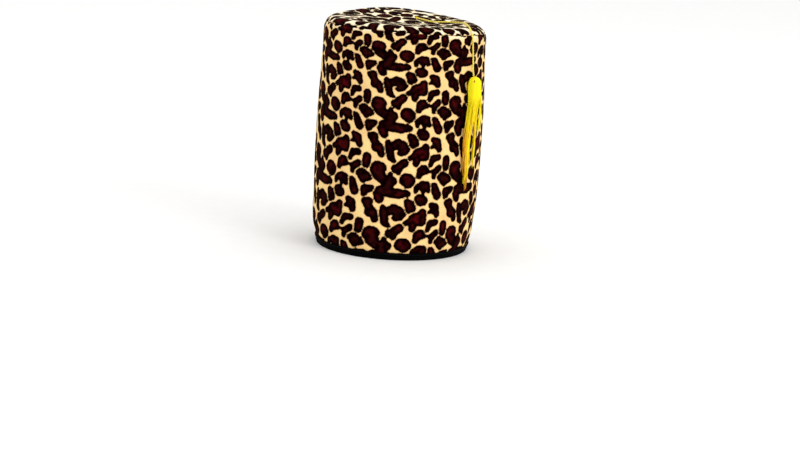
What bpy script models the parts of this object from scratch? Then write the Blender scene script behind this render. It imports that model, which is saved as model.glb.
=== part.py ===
"""A tall fez of printed velour with a rim binding, a cord and a tassel.

Metres, +Z up. The hat stands on its rim. The origin is on the surface, under the middle of the crown.
The front of the hat faces -Y, and the tassel hangs on the +X side, towards the front.
"""
import math

import bmesh
import bpy
import numpy as np

MM = 0.001

# Crown: height to the edge of the top, and the padded cloth
HEIGHT = 257.0 * MM
CLOTH = 3.0 * MM
TOP_CLOTH = 2.6 * MM

# Points round the hat, up its corner as shares of the way to the seam and on to the flat, and in from its edge
AROUND = 60
CORNER_SHARES = (0.0, 0.3, 0.6)
TOP_CORNER_SHARES = (0.35, 0.7)
TOP_SHARES = (1.0, 0.86, 0.7, 0.54, 0.38, 0.22, 0.1)

# Half widths of the side panel at rising heights, in mm: to -X, to +X, to the front and to the back
OUTLINE_COLUMNS = ("height", "minus_x", "plus_x", "front", "back")
OUTLINE = (
    (0.0, 82.9, 82.9, 95.2, 95.2),
    (14.0, 87.6, 87.6, 96.0, 96.0),
    (22.0, 90.3, 89.3, 95.9, 95.9),
    (34.0, 91.9, 90.6, 95.6, 95.6),
    (52.0, 92.4, 92.3, 95.0, 95.0),
    (92.0, 93.6, 93.8, 94.4, 94.4),
    (132.0, 94.0, 94.0, 94.0, 94.0),
    (172.0, 93.6, 93.4, 93.4, 93.4),
    (202.0, 92.9, 91.8, 92.4, 92.4),
    (228.0, 92.5, 90.7, 91.6, 91.6),
    (257.0, 92.2, 90.2, 91.0, 91.0),
)

# Top corner: its radius on each side, and the seam between the side panel and the top
CORNER = {"minus_x": 14.0 * MM, "plus_x": 15.0 * MM, "front": 12.0 * MM, "back": 12.0 * MM}
SEAM_LIFT = math.radians(33.0)
SEAM_GAP = 0.5 * MM
SEAM_LIP = math.radians(1.5)

# Top: a soft dish with a shallow trough in front of the cord. Its edge rises and falls round the hat:
# turns in degrees from +X, rises in mm
DISH = 3.5 * MM
EDGE_COLUMNS = ("turn", "rise")
EDGE = (
    (-180.0, 0.0),
    (-150.0, 0.3),
    (-120.0, 1.2),
    (-90.0, 1.8),
    (-60.0, 1.2),
    (-30.0, 0.2),
    (0.0, -0.75),
    (15.0, -1.5),
    (30.0, -2.1),
    (45.0, -1.6),
    (60.0, -1.4),
    (75.0, 0.1),
    (90.0, 1.8),
    (105.0, 3.0),
    (120.0, 3.4),
    (135.0, 2.5),
    (150.0, 0.9),
    (165.0, 0.0),
    (180.0, 0.0),
)
TROUGH_DEPTH = 0.8 * MM
TROUGH_HALF_WIDTH = 6.0 * MM
TROUGH_REACH = 70.0 * MM
TROUGH_SIDE = 6.0 * MM

# Rim binding: black tape folded round the raw edge
TAPE = 1.2 * MM
TAPE_ROUND = 0.7 * MM
FOLD_OUTSIDE = 8.2 * MM
FOLD_INSIDE = 9.2 * MM
FIT_GAP = 0.3 * MM
INNER_FIT_GAP = 0.5 * MM

# Cord: its route on the top and down the side, in mm
CORD_DIAMETER = 2.0 * MM
CORD_STEP = 4.5 * MM
CORD_COLUMNS = ("x", "y", "z")
CORD_ROUTE = (
    (3.3, 29.6, 256.4),
    (6.7, 28.2, 256.1),
    (10.3, 26.5, 255.8),
    (15.2, 23.2, 255.5),
    (20.6, 18.2, 255.5),
    (27.1, 15.2, 255.4),
    (33.4, 16.6, 255.6),
    (40.2, 19.8, 255.9),
    (47.5, 21.8, 256.1),
    (53.3, 22.8, 256.3),
    (59.1, 19.9, 256.6),
    (63.4, 14.1, 256.9),
    (67.2, 4.6, 257.4),
    (70.4, -6.7, 257.9),
    (73.4, -16.5, 258.1),
    (76.1, -23.3, 257.8),
    (78.5, -28.6, 256.4),
    (80.9, -32.8, 253.7),
    (82.8, -35.8, 250.0),
    (83.9, -36.8, 246.0),
    (84.3, -36.8, 241.0),
    (84.7, -36.2, 235.0),
    (85.2, -35.4, 229.0),
    (85.5, -35.0, 223.0),
    (85.8, -35.1, 217.5),
    (86.4, -36.3, 212.8),
    (87.5, -38.8, 209.4),
    (88.6, -41.7, 206.45),
)

# Tassel: a round head on a bundle, and locks that leave its neck and spread. Tables are in mm
TASSEL_TURN = math.radians(65.2 - 90.0)
BUNDLE_SIDES = 16
BUNDLE_COLUMNS = ("height", "half_across", "half_out")
BUNDLE = (
    (205.8, 1.2, 1.0),
    (205.0, 4.6, 4.4),
    (202.6, 7.2, 6.9),
    (199.0, 8.2, 8.0),
    (195.4, 8.0, 7.8),
    (192.2, 7.0, 7.0),
    (189.0, 7.0, 7.4),
    (180.0, 7.4, 7.4),
    (168.0, 8.2, 6.6),
    (155.0, 8.0, 4.8),
    (145.0, 7.2, 3.6),
    (136.0, 5.0, 2.6),
    (130.0, 2.4, 1.6),
)
LOCK_START = 192.0 * MM
LOCK_MIDDLE = 150.0 * MM
LOCK_NECK_OUT = 5.0 * MM
LOCK_SIDES = 8
LOCK_STATIONS = 8
LOCK_SWELL = ((0.0, 0.7), (0.15, 0.95), (0.45, 1.0), (0.8, 0.8), (1.0, 0.4))
LOCK_COLUMNS = ("neck", "middle", "end", "end_height", "width", "depth", "lift")
LOCKS = (
    (-2.6, -4.0, -4.6, 88.0, 5.4, 4.8, 3.4),
    (-0.8, -1.4, -1.8, 84.0, 5.6, 5.0, 4.4),
    (1.8, 0.6, 1.4, 78.0, 5.0, 4.6, 2.8),
    (4.0, 4.6, 1.8, 118.0, 5.4, 4.8, 4.6),
    (5.8, 9.2, 13.0, 104.0, 3.8, 3.4, 2.2),
    (7.0, 13.2, 16.0, 136.0, 4.6, 4.2, 4.4),
    (0.8, 1.0, -0.6, 126.0, 5.8, 4.2, 7.4),
    (-3.2, -4.4, -6.8, 112.0, 4.8, 4.2, 1.0),
)


def smooth_between(x, xs, ys):
    """A smooth curve through the points (xs, ys): cubic pieces whose slopes come from their neighbours."""
    xs, ys = np.asarray(xs, float), np.asarray(ys, float)
    slopes = np.gradient(ys, xs)
    x = np.clip(x, xs[0], xs[-1])
    i = np.clip(np.searchsorted(xs, x, side="right") - 1, 0, len(xs) - 2)
    step = xs[i + 1] - xs[i]
    t = (x - xs[i]) / step
    return (
        (2 * t**3 - 3 * t**2 + 1) * ys[i]
        + (t**3 - 2 * t**2 + t) * step * slopes[i]
        + (3 * t**2 - 2 * t**3) * ys[i + 1]
        + (t**3 - t**2) * step * slopes[i + 1]
    )


def column(table, names, name):
    """One column of a table in mm, in metres."""
    return np.array([row[names.index(name)] for row in table]) * MM


def half_width(side, height):
    """Half width of the side panel to one side, at a height."""
    heights = column(OUTLINE, OUTLINE_COLUMNS, "height")
    return smooth_between(height, heights, column(OUTLINE, OUTLINE_COLUMNS, side))


def wall_radius(turn, height):
    """Distance of the side panel's face from the axis: a quarter of an ellipse between each two sides."""
    turn = np.asarray(turn, float)
    across = np.where(np.cos(turn) >= 0, half_width("plus_x", height), half_width("minus_x", height))
    along = np.where(np.sin(turn) >= 0, half_width("back", height), half_width("front", height))
    return 1 / np.sqrt((np.cos(turn) / across) ** 2 + (np.sin(turn) / along) ** 2)


def corner_radius(turn):
    """Radius of the top corner, blended round the hat from its values on the four sides."""
    across = np.where(np.cos(turn) >= 0, CORNER["plus_x"], CORNER["minus_x"])
    along = np.where(np.sin(turn) >= 0, CORNER["back"], CORNER["front"])
    return across * np.cos(turn) ** 2 + along * np.sin(turn) ** 2


def edge_height(turn):
    """Height at which the top meets its corner: puffed up at the back, and low on the +X side."""
    degrees = (np.degrees(turn) + 180) % 360 - 180
    turns = [row[EDGE_COLUMNS.index("turn")] for row in EDGE]
    return HEIGHT + smooth_between(degrees, turns, column(EDGE, EDGE_COLUMNS, "rise"))


def polar(turn, radius, height):
    """Points at a turn about the axis, a distance from it and a height."""
    turn, radius, height = np.broadcast_arrays(turn, radius, height)
    return np.stack([radius * np.cos(turn), radius * np.sin(turn), height], axis=-1)


def corner_ring(turn, lift):
    """A ring of points on the corner. lift is 0 where the corner leaves the wall and a right angle on top."""
    radius = corner_radius(turn)
    foot = edge_height(turn) - radius
    reach = wall_radius(turn, foot) - radius + radius * np.cos(lift)
    return polar(turn, reach, foot + radius * np.sin(lift))


def top_ring(turn, share):
    """A ring of points on the top. share is 1 at the edge of the flat and 0 at the centre."""
    radius = corner_radius(turn)
    flat = wall_radius(turn, edge_height(turn) - radius) - radius
    reach = share * flat
    fall = share**2 * (3 - 2 * share)
    height = HEIGHT - DISH - (HEIGHT - DISH - edge_height(turn)) * fall
    along, across = reach * np.cos(turn), reach * np.sin(turn)
    ends = np.sin(np.pi * np.clip(along / TROUGH_REACH, 0, 1)) ** 2
    hollow = np.exp(-(((across - TROUGH_SIDE) / TROUGH_HALF_WIDTH) ** 2))
    return polar(turn, reach, height - TROUGH_DEPTH * ends * hollow)


def collection(name):
    """A new collection in the scene."""
    made = bpy.data.collections.new(name)
    bpy.context.scene.collection.children.link(made)
    return made


def material(name, colour, roughness):
    """A plain finish for one piece."""
    made = bpy.data.materials.new(name)
    made.use_nodes = True
    shader = made.node_tree.nodes["Principled BSDF"]
    shader.inputs["Base Color"].default_value = (*colour, 1.0)
    shader.inputs["Roughness"].default_value = roughness
    shader.inputs["Metallic"].default_value = 0.0
    return made


def mesh_object(name, points, faces, target, finish=None):
    """An object from points and faces, in a collection."""
    mesh = bpy.data.meshes.new(name)
    mesh.from_pydata([tuple(p) for p in points], [], faces)
    mesh.update()
    made = bpy.data.objects.new(name, mesh)
    target.objects.link(made)
    if finish is not None:
        mesh.materials.append(finish)
    mesh.shade_smooth()
    return made


def band_faces(rows, columns):
    """Quads between neighbouring rings that each close on themselves."""
    quads = []
    for row in range(rows - 1):
        for column in range(columns):
            beside = (column + 1) % columns
            low, high = row * columns, (row + 1) * columns
            quads.append((low + column, low + beside, high + beside, high + column))
    return quads


def solidify(piece, thickness):
    """Give an open surface its thickness, inwards."""
    shell = piece.modifiers.new("cloth", "SOLIDIFY")
    shell.thickness = thickness
    shell.offset = -1.0


def build_side(target):
    """The side panel: a tube that rolls over the corner as far as the seam."""
    turns = np.linspace(0, 2 * np.pi, AROUND, endpoint=False)
    lowest = TAPE + 2 * FIT_GAP
    heights = [lowest, FOLD_OUTSIDE, *column(OUTLINE, OUTLINE_COLUMNS, "height")[1:-1]]
    rings = [polar(turns, wall_radius(turns, height), height) for height in heights]
    last = SEAM_LIFT - SEAM_GAP / 2 / corner_radius(turns)
    rings += [corner_ring(turns, share * last) for share in CORNER_SHARES]
    rings += [corner_ring(turns, last - SEAM_LIP), corner_ring(turns, last)]
    points = np.concatenate(rings)
    velour = material("printed_velour_side", (0.42, 0.22, 0.09), 0.85)
    panel = mesh_object("crown_side", points, band_faces(len(rings), AROUND), target, velour)
    solidify(panel, CLOTH)


def build_top(target):
    """The top: a round panel that starts on the corner, at the seam, and closes at its centre."""
    turns = np.linspace(0, 2 * np.pi, AROUND, endpoint=False)
    first = SEAM_LIFT + SEAM_GAP / 2 / corner_radius(turns)
    rings = [corner_ring(turns, first), corner_ring(turns, first + SEAM_LIP)]
    rings += [corner_ring(turns, first + share * (math.pi / 2 - first)) for share in TOP_CORNER_SHARES]
    rings += [top_ring(turns, share) for share in TOP_SHARES]
    faces = band_faces(len(rings), AROUND)
    centre = len(rings) * AROUND
    inner = centre - AROUND
    faces += [(inner + i, inner + (i + 1) % AROUND, centre) for i in range(AROUND)]
    points = np.concatenate(rings + [[(0.0, 0.0, HEIGHT - DISH)]])
    velour = material("printed_velour_top", (0.46, 0.28, 0.14), 0.85)
    panel = mesh_object("crown_top", points, faces, target, velour)
    solidify(panel, TOP_CLOTH)


def build_binding(target):
    """The rim binding: a U-shaped fold of tape carried round the rim, flat where it stands."""
    outer = FIT_GAP + TAPE
    inner = -(CLOTH + INNER_FIT_GAP)
    back = inner - TAPE
    profile = (
        (outer, 2 * TAPE_ROUND),
        (outer, FOLD_OUTSIDE - TAPE_ROUND / 2),
        (outer - TAPE_ROUND / 2, FOLD_OUTSIDE),
        (FIT_GAP, FOLD_OUTSIDE),
        (FIT_GAP, TAPE),
        (inner, TAPE),
        (inner, FOLD_INSIDE),
        (back, FOLD_INSIDE),
        (back, 2 * TAPE_ROUND),
        (back + TAPE_ROUND / 2, TAPE_ROUND / 2),
        (back + 2 * TAPE_ROUND, 0.0),
        (outer - 2 * TAPE_ROUND, 0.0),
        (outer - TAPE_ROUND / 2, TAPE_ROUND / 2),
    )
    turns = np.linspace(0, 2 * np.pi, AROUND, endpoint=False)
    rings = [polar(turns, wall_radius(turns, height) + out, height) for out, height in profile]
    faces = band_faces(len(rings), AROUND)
    last = (len(rings) - 1) * AROUND
    for i in range(AROUND):
        beside = (i + 1) % AROUND
        faces.append((last + i, last + beside, beside, i))
    tape = material("black_tape", (0.006, 0.006, 0.007), 0.7)
    mesh_object("rim_binding", np.concatenate(rings), faces, target, tape)


def build_cord(target):
    """The cord: a round tube along one smooth curve through the route's points."""
    route = np.stack([column(CORD_ROUTE, CORD_COLUMNS, axis) for axis in CORD_COLUMNS], axis=-1)
    way = np.concatenate([[0.0], np.cumsum(np.linalg.norm(np.diff(route, axis=0), axis=1))])
    stations = np.linspace(0, way[-1], round(way[-1] / CORD_STEP) + 1)
    points = np.stack([smooth_between(stations, way, route[:, axis]) for axis in range(3)], axis=-1)
    curve = bpy.data.curves.new("tassel_cord", "CURVE")
    curve.dimensions = "3D"
    curve.bevel_depth = CORD_DIAMETER / 2
    curve.bevel_resolution = 2
    curve.use_fill_caps = True
    spline = curve.splines.new("POLY")
    spline.points.add(len(points) - 1)
    for point, place in zip(spline.points, points):
        point.co = (*place, 1.0)
    cord = bpy.data.objects.new("tassel_cord", curve)
    target.objects.link(cord)
    curve.materials.append(material("yellow_cord", (0.75, 0.5, 0.03), 0.6))


def on_wall(across, height, out):
    """A point beside the tassel's middle line: across along the wall, at a height, and out from the wall."""
    turn = TASSEL_TURN + across / wall_radius(TASSEL_TURN, height)
    return polar(turn, wall_radius(turn, height) + out, height)


def oval_tube(name, across, out, heights, half_across, half_out, sides, target, finish=None):
    """A closed tube of oval rings down the wall, with a flat cap at each end."""
    corners = np.linspace(0, 2 * np.pi, sides, endpoint=False)
    rings = []
    for i, height in enumerate(heights):
        beside = across[i] + half_across[i] * np.cos(corners)
        rings.append(on_wall(beside, height, out[i] + half_out[i] * np.sin(corners)))
    faces = band_faces(len(rings), sides)
    last = (len(rings) - 1) * sides
    faces += [tuple(range(sides))[::-1], tuple(last + i for i in range(sides))]
    made = mesh_object(name, np.concatenate(rings), faces, target, finish)
    cage = bmesh.new()
    cage.from_mesh(made.data)
    bmesh.ops.recalc_face_normals(cage, faces=cage.faces[:])
    cage.to_mesh(made.data)
    cage.free()
    made.data.shade_smooth()
    return made


def build_bundle(target):
    """The tassel's head, its neck and the core of its skirt, laid against the wall."""
    height, half_across, half_out = (column(BUNDLE, BUNDLE_COLUMNS, name) for name in BUNDLE_COLUMNS)
    middle = np.zeros(len(BUNDLE))
    out = FIT_GAP + np.where(height > LOCK_START, half_out.max(), half_out)
    rayon = material("yellow_rayon", (0.85, 0.62, 0.02), 0.55)
    return oval_tube("tassel", middle, out, height, half_across, half_out, BUNDLE_SIDES, target, rayon)


def build_lock(row, number, target):
    """One lock: it leaves the neck, swells, tapers and comes back to the wall."""
    lock = dict(zip(LOCK_COLUMNS, (value * MM for value in row)))
    end_height = lock["end_height"]
    middle_height = min(max(LOCK_MIDDLE, (end_height + LOCK_START) / 2 - 5 * MM), LOCK_START)
    knots = (end_height, middle_height, LOCK_START)
    heights = np.linspace(LOCK_START, end_height, LOCK_STATIONS)
    swell = np.interp(np.linspace(0, 1, LOCK_STATIONS), *zip(*LOCK_SWELL))
    seat = FIT_GAP + lock["depth"] / 2
    across = smooth_between(heights, knots, (lock["end"], lock["middle"], lock["neck"]))
    out = smooth_between(heights, knots, (seat, seat + lock["lift"], LOCK_NECK_OUT + lock["lift"]))
    half_across, half_out = swell * lock["width"] / 2, swell * lock["depth"] / 2
    return oval_tube(f"lock_{number}", across, out, heights, half_across, half_out, LOCK_SIDES, target)


def build_tassel(target, cutters):
    """The tassel: the bundle with its locks fused to it."""
    tassel = build_bundle(target)
    for number, row in enumerate(LOCKS, 1):
        lock = build_lock(row, number, cutters)
        lock.hide_render = True
        lock.display_type = "WIRE"
        fuse = tassel.modifiers.new(f"fuse_lock_{number}", "BOOLEAN")
        fuse.operation = "UNION"
        fuse.object = lock


def main():
    """Build the whole hat in an empty scene."""
    for old in list(bpy.data.objects):
        bpy.data.objects.remove(old, do_unlink=True)
    hat = collection("fez")
    cutters = collection("cutters")
    build_side(hat)
    build_top(hat)
    build_binding(hat)
    build_cord(hat)
    build_tassel(hat, cutters)


main()
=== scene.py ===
# %% [markdown]
# This hat is a tall fez: a padded tube of velour printed like a leopard's coat, with a round top of
# the same cloth, a black tape round its rim, and a yellow tassel on a thin cord. Its plain solids are
# already packed in a fixed frame, at their real size. Here each one gets its finished surface: the
# pile and its print, the woven tape, the twisted cord and the loose threads.
#
# Everything is in metres, with +Z up, and the hat stands on its rim at z = 0. Tables are in
# millimetres, because that is what a tape measure says.

# %% Load the frame
import math

import bpy
import numpy as np
from mathutils import Matrix, Vector


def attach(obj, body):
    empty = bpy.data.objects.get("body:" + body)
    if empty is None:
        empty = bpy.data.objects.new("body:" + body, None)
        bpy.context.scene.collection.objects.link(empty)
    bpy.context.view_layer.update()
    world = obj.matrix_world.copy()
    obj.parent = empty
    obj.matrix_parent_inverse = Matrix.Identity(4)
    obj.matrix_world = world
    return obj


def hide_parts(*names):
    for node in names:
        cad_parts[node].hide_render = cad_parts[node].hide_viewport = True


MM = 0.001
FULL_TURN = 2 * math.pi

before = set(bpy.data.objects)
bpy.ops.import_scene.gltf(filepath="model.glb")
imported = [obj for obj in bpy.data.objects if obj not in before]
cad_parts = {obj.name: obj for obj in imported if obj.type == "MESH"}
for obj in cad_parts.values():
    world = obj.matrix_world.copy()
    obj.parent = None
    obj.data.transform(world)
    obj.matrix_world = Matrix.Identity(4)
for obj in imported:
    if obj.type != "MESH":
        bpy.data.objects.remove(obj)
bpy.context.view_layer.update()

# %% [markdown]
# ## Camera
# The hat is seen from a little above its middle and slightly to its right, from far off through a
# long lens, so its sides look almost parallel. Three angles and a distance say where the camera is.
# The hat sits high in the picture, so the camera is turned down a little, and not shifted. It is
# also rolled, which makes the hat lean to the right as it does in the photograph.

# %% Camera
CAMERA_AZIMUTH = math.radians(12.0)
CAMERA_ELEVATION = math.radians(8.984)
CAMERA_ROLL = math.radians(4.012)
CAMERA_DISTANCE = 3.574
HAT_CENTRE = Vector((0.0, 0.0, 128.5 * MM))
HAT_CENTRE_PIXEL = (399.03, 132.34)
PICTURE = (800, 465)
FOCAL_PIXELS = 3162.1
SENSOR_WIDTH = 36.0

away = Vector(
    (
        math.sin(CAMERA_AZIMUTH) * math.cos(CAMERA_ELEVATION),
        -math.cos(CAMERA_AZIMUTH) * math.cos(CAMERA_ELEVATION),
        math.sin(CAMERA_ELEVATION),
    )
)


def camera_axes():
    """Right, up and forward. They first face the hat's centre and are rolled about that line. Then the
    forward axis is tipped until the centre lands on its own pixel, and the others are squared to it."""
    forward = -away
    level = forward.cross(Vector((0, 0, 1))).normalized()
    upright = level.cross(forward)
    right = level * math.cos(CAMERA_ROLL) + upright * math.sin(CAMERA_ROLL)
    up = upright * math.cos(CAMERA_ROLL) - level * math.sin(CAMERA_ROLL)
    beside = (HAT_CENTRE_PIXEL[0] - PICTURE[0] / 2) / FOCAL_PIXELS
    above = (PICTURE[1] / 2 - HAT_CENTRE_PIXEL[1]) / FOCAL_PIXELS
    forward = (forward - beside * right - above * up).normalized()
    right = (right - right.dot(forward) * forward).normalized()
    return right, right.cross(forward), forward


right, up, forward = camera_axes()
lens = bpy.data.cameras.new("camera")
lens.sensor_width = SENSOR_WIDTH
lens.lens = FOCAL_PIXELS * SENSOR_WIDTH / PICTURE[0]
camera = bpy.data.objects.new("camera", lens)
camera.matrix_world = (
    Matrix.Translation(HAT_CENTRE + away * CAMERA_DISTANCE)
    @ Matrix((right, up, -forward)).transposed().to_4x4()
)
bpy.context.scene.collection.objects.link(camera)
bpy.context.scene.camera = camera
print(f"camera: lens {lens.lens:.1f} mm, at", [round(x, 3) for x in camera.matrix_world.translation])

# %% [markdown]
# ## Curves from short tables
# A milliner would note a shape as a few measurements up a side and let the cloth find the curve
# between them. A cubic through the points does the same: each piece between two rows starts and ends
# with the slope that its neighbours suggest. The cord, the outline and the tassel all use it. Each
# longer table has its columns' names beside it.


# %% Smooth curves and tables
def smooth_between(x, xs, ys):
    """A smooth curve through the points (xs, ys): cubic pieces, with slopes from the neighbours."""
    xs, ys = np.asarray(xs, float), np.asarray(ys, float)
    slopes = np.gradient(ys, xs)
    x = np.clip(x, xs[0], xs[-1])
    i = np.clip(np.searchsorted(xs, x, side="right") - 1, 0, len(xs) - 2)
    step = xs[i + 1] - xs[i]
    t = (x - xs[i]) / step
    return (
        (2 * t**3 - 3 * t**2 + 1) * ys[i]
        + (t**3 - 2 * t**2 + t) * step * slopes[i]
        + (3 * t**2 - 2 * t**3) * ys[i + 1]
        + (t**3 - t**2) * step * slopes[i + 1]
    )


def smooth_step(x, low, high):
    """0 below low and 1 above high, with a soft S between them."""
    t = np.clip((x - low) / (high - low), 0, 1)
    return t * t * (3 - 2 * t)


def named_rows(table, names):
    """Each row of a table as a dictionary, opened by the names of its columns."""
    return [dict(zip(names, row)) for row in table]


def column(table, names, name):
    """One column of a table in mm, in metres."""
    return np.array([row[name] for row in named_rows(table, names)]) * MM


def unit(vectors):
    """Vectors scaled to length 1."""
    return vectors / np.linalg.norm(vectors, axis=-1, keepdims=True)


# %% [markdown]
# ## Meshes from arrays
# Every surface here is a grid of points worked out with numpy: rows along one parameter, columns
# along the other. A grid can close on itself round the hat, along its profile, or both. Writing whole
# arrays into the mesh keeps tens of thousands of points quick.


# %% Grids to meshes
def grid_faces(rows, columns, closed_rows=False, closed_columns=True):
    """Quads of a grid. Their front faces the side from which rows go up and columns go to the right."""
    row = np.arange(rows if closed_rows else rows - 1)[:, None]
    col = np.arange(columns if closed_columns else columns - 1)[None, :]
    next_row, next_col = (row + 1) % rows, (col + 1) % columns
    corners = [row * columns + col, row * columns + next_col, next_row * columns + next_col]
    corners.append(next_row * columns + col)
    return np.stack(corners, axis=-1).reshape(-1, 4)


def many_grids(grids, rows, columns):
    """Faces of many equal tubes, each rows x columns, listed one after another."""
    one = grid_faces(rows, columns)
    first = np.arange(grids)[:, None, None] * rows * columns
    return (one[None] + first).reshape(-1, 4)


def mesh_piece(name, points, face_arrays, materials, values=None, slots=None):
    """A smooth-shaded object from points and arrays of triangles or quads, with named point values."""
    mesh = bpy.data.meshes.new(name)
    points = np.asarray(points, np.float32).reshape(-1, 3)
    mesh.vertices.add(len(points))
    mesh.vertices.foreach_set("co", points.ravel())
    corners = np.concatenate([faces.ravel() for faces in face_arrays]).astype(np.int32)
    sizes = np.concatenate([np.full(len(faces), faces.shape[1]) for faces in face_arrays])
    mesh.loops.add(len(corners))
    mesh.loops.foreach_set("vertex_index", corners)
    mesh.polygons.add(len(sizes))
    mesh.polygons.foreach_set("loop_start", (np.cumsum(sizes) - sizes).astype(np.int32))
    mesh.update(calc_edges=True)
    mesh.polygons.foreach_set("use_smooth", np.ones(len(sizes), bool))
    if slots is not None:
        mesh.polygons.foreach_set("material_index", slots.astype(np.int32))
    for key, value in (values or {}).items():
        layer = mesh.attributes.new(key, "FLOAT", "POINT")
        layer.data.foreach_set("value", np.asarray(value, np.float32).ravel())
    for material in materials:
        mesh.materials.append(material)
    piece = bpy.data.objects.new(name, mesh)
    bpy.context.scene.collection.objects.link(piece)
    mesh.update()
    print(f"{name}: {len(points)} points, {int((sizes - 2).sum())} triangles")
    return piece


# %% [markdown]
# ## Colours and nodes
# Colours are written as sRGB hex values, as a dyer's chart gives them, and one function turns them
# into the linear numbers that Blender's shaders mix. One more adds a node with its settings and its
# links, so that a material reads as a list of what is done to it. The inputs of a Map Range node are
# numbered: 0 is the value, 1 and 2 the range it comes from, and 3 and 4 the range it goes to.

# %% Colours and nodes
MIX_FACTOR, MIX_A, MIX_B, MIX_COLOUR = 0, 6, 7, 2


def linear(code):
    """An sRGB hex colour as linear red, green, blue and alpha 1."""
    srgb = np.array([int(code[i : i + 2], 16) for i in (1, 3, 5)]) / 255
    low, high = srgb / 12.92, ((srgb + 0.055) / 1.055) ** 2.4
    return (*np.where(srgb <= 0.04045, low, high).tolist(), 1.0)


def add(tree, kind, inputs=None, **settings):
    """Add a node: its settings by name, its inputs by name or number, each a value or a link."""
    node = tree.nodes.new(kind)
    for key, value in settings.items():
        setattr(node, key, value)
    for key, value in (inputs or {}).items():
        if isinstance(value, bpy.types.NodeSocket):
            tree.links.new(value, node.inputs[key])
        else:
            node.inputs[key].default_value = value
    return node


def new_material(name, **fixed):
    """A material with its Principled shader, whose fixed inputs are set on its own sockets."""
    made = bpy.data.materials.new(name)
    made.use_nodes = True
    shader = made.node_tree.nodes["Principled BSDF"]
    for key, value in fixed.items():
        shader.inputs[key.replace("_", " ")].default_value = value
    return made, made.node_tree, shader


print("cream #f6d891 is", [round(x, 3) for x in linear("#f6d891")[:3]], "in linear light")

# %% [markdown]
# ## Cord: its route
# The cord is sewn to the top near its middle, wanders to the edge in loose bends, rolls over the corner
# and hangs down the wall to the tassel. The route is a list of points read as one smooth curve. They
# were picked where the photograph shows the cord, and then given a depth that lays the cord 0.4 to 0.6
# mm off the cloth, but for the last 10 mm or so, which reach out to the tassel's head. A separate
# calculation, which isn't in this script, then gave them their depth.

# %% Cord route
CORD_DIAMETER = 2.0 * MM
CORD_STEP = 0.4 * MM
CORD_COLUMNS = ("x", "y", "z")
CORD_ROUTE = (
    (3.3, 29.6, 256.4),
    (6.7, 28.2, 256.1),
    (10.3, 26.5, 255.8),
    (15.2, 23.2, 255.5),
    (20.6, 18.2, 255.5),
    (27.1, 15.2, 255.4),
    (33.4, 16.6, 255.6),
    (40.2, 19.8, 255.9),
    (47.5, 21.8, 256.1),
    (53.3, 22.8, 256.3),
    (59.1, 19.9, 256.6),
    (63.4, 14.1, 256.9),
    (67.2, 4.6, 257.4),
    (70.4, -6.7, 257.9),
    (73.4, -16.5, 258.1),
    (76.1, -23.3, 257.8),
    (78.5, -28.6, 256.4),
    (80.9, -32.8, 253.7),
    (82.8, -35.8, 250.0),
    (83.9, -36.8, 246.0),
    (84.3, -36.8, 241.0),
    (84.7, -36.2, 235.0),
    (85.2, -35.4, 229.0),
    (85.5, -35.0, 223.0),
    (85.8, -35.1, 217.5),
    (86.4, -36.3, 212.8),
    (87.5, -38.8, 209.4),
    (88.6, -41.7, 206.45),
)

route = np.stack([column(CORD_ROUTE, CORD_COLUMNS, axis) for axis in CORD_COLUMNS], axis=-1)
way = np.concatenate([[0.0], np.cumsum(np.linalg.norm(np.diff(route, axis=0), axis=1))])
stations = np.linspace(0, way[-1], round(way[-1] / CORD_STEP) + 1)
cord_line = np.stack([smooth_between(stations, way, route[:, axis]) for axis in range(3)], axis=-1)
cord_length = float(np.linalg.norm(np.diff(cord_line, axis=0), axis=1).sum())
print(f"cord: {cord_length / MM:.0f} mm of {CORD_DIAMETER / MM:.0f} mm cord, {len(cord_line)} stations")

# %% [markdown]
# ## Cord: two plies
# The cord is two soft yarns twisted together. Seen end on it is a figure of eight that turns as it
# goes along. A tube whose radius follows that outline gives both plies in one closed skin, which is
# simpler than two tubes that cut through each other. Its sides stand square to the line, and one of
# them always points away from the cloth, so the twist is the cord's own.

# %% Cord
CORD_SIDES = 18
PLY_RADIUS = 0.58 * MM
PLY_OFFSET = CORD_DIAMETER / 2 - PLY_RADIUS
TWIST_PITCH = 6.5 * MM
FIBRES_ACROSS, FIBRE_LENGTH, FIBRE_SCALE = 3.0, 4.0 * MM, 5.0
TOP_REACH, WALL_REACH = 76.0 * MM, 96.0 * MM


def outward(points):
    """The direction away from the cloth: up on the top, away from the axis on the wall, and mixed on
    the corner between them."""
    wall = smooth_step(np.hypot(points[:, 0], points[:, 1]), TOP_REACH, WALL_REACH)
    radial = unit(points * [1, 1, 0])
    return unit(radial * wall[:, None] + np.array([0, 0, 1]) * (1 - wall[:, None]))


def tube(line, away_from, radius):
    """Rings square to a line. radius has a row for each station and a column for each side."""
    along = unit(np.gradient(line, axis=0))
    across = unit(np.cross(along, away_from))
    over = np.cross(across, along)
    side = np.linspace(0, FULL_TURN, radius.shape[1], endpoint=False)
    ring = across[:, None] * np.cos(side)[None, :, None] + over[:, None] * np.sin(side)[None, :, None]
    return line[:, None] + ring * radius[:, :, None]


def two_ply_radius(count, sides, length):
    """The outline of two touching circles, turned as it goes: offset x cos a + root of what is left of
    the ply's radius, where a is the angle to the nearer ply."""
    side = np.linspace(0, FULL_TURN, sides, endpoint=False)[None]
    turned = side - FULL_TURN * np.linspace(0, length, count)[:, None] / TWIST_PITCH
    near = np.abs(np.cos(turned))
    return PLY_OFFSET * near + np.sqrt(PLY_RADIUS**2 - PLY_OFFSET**2 * (1 - near**2))


def with_ends(points):
    """A tube's points with the middle of each end added, so that caps can close it."""
    flat = points.reshape(-1, 3)
    return np.concatenate([flat, points[:1].mean(axis=1), points[-1:].mean(axis=1)])


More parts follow.
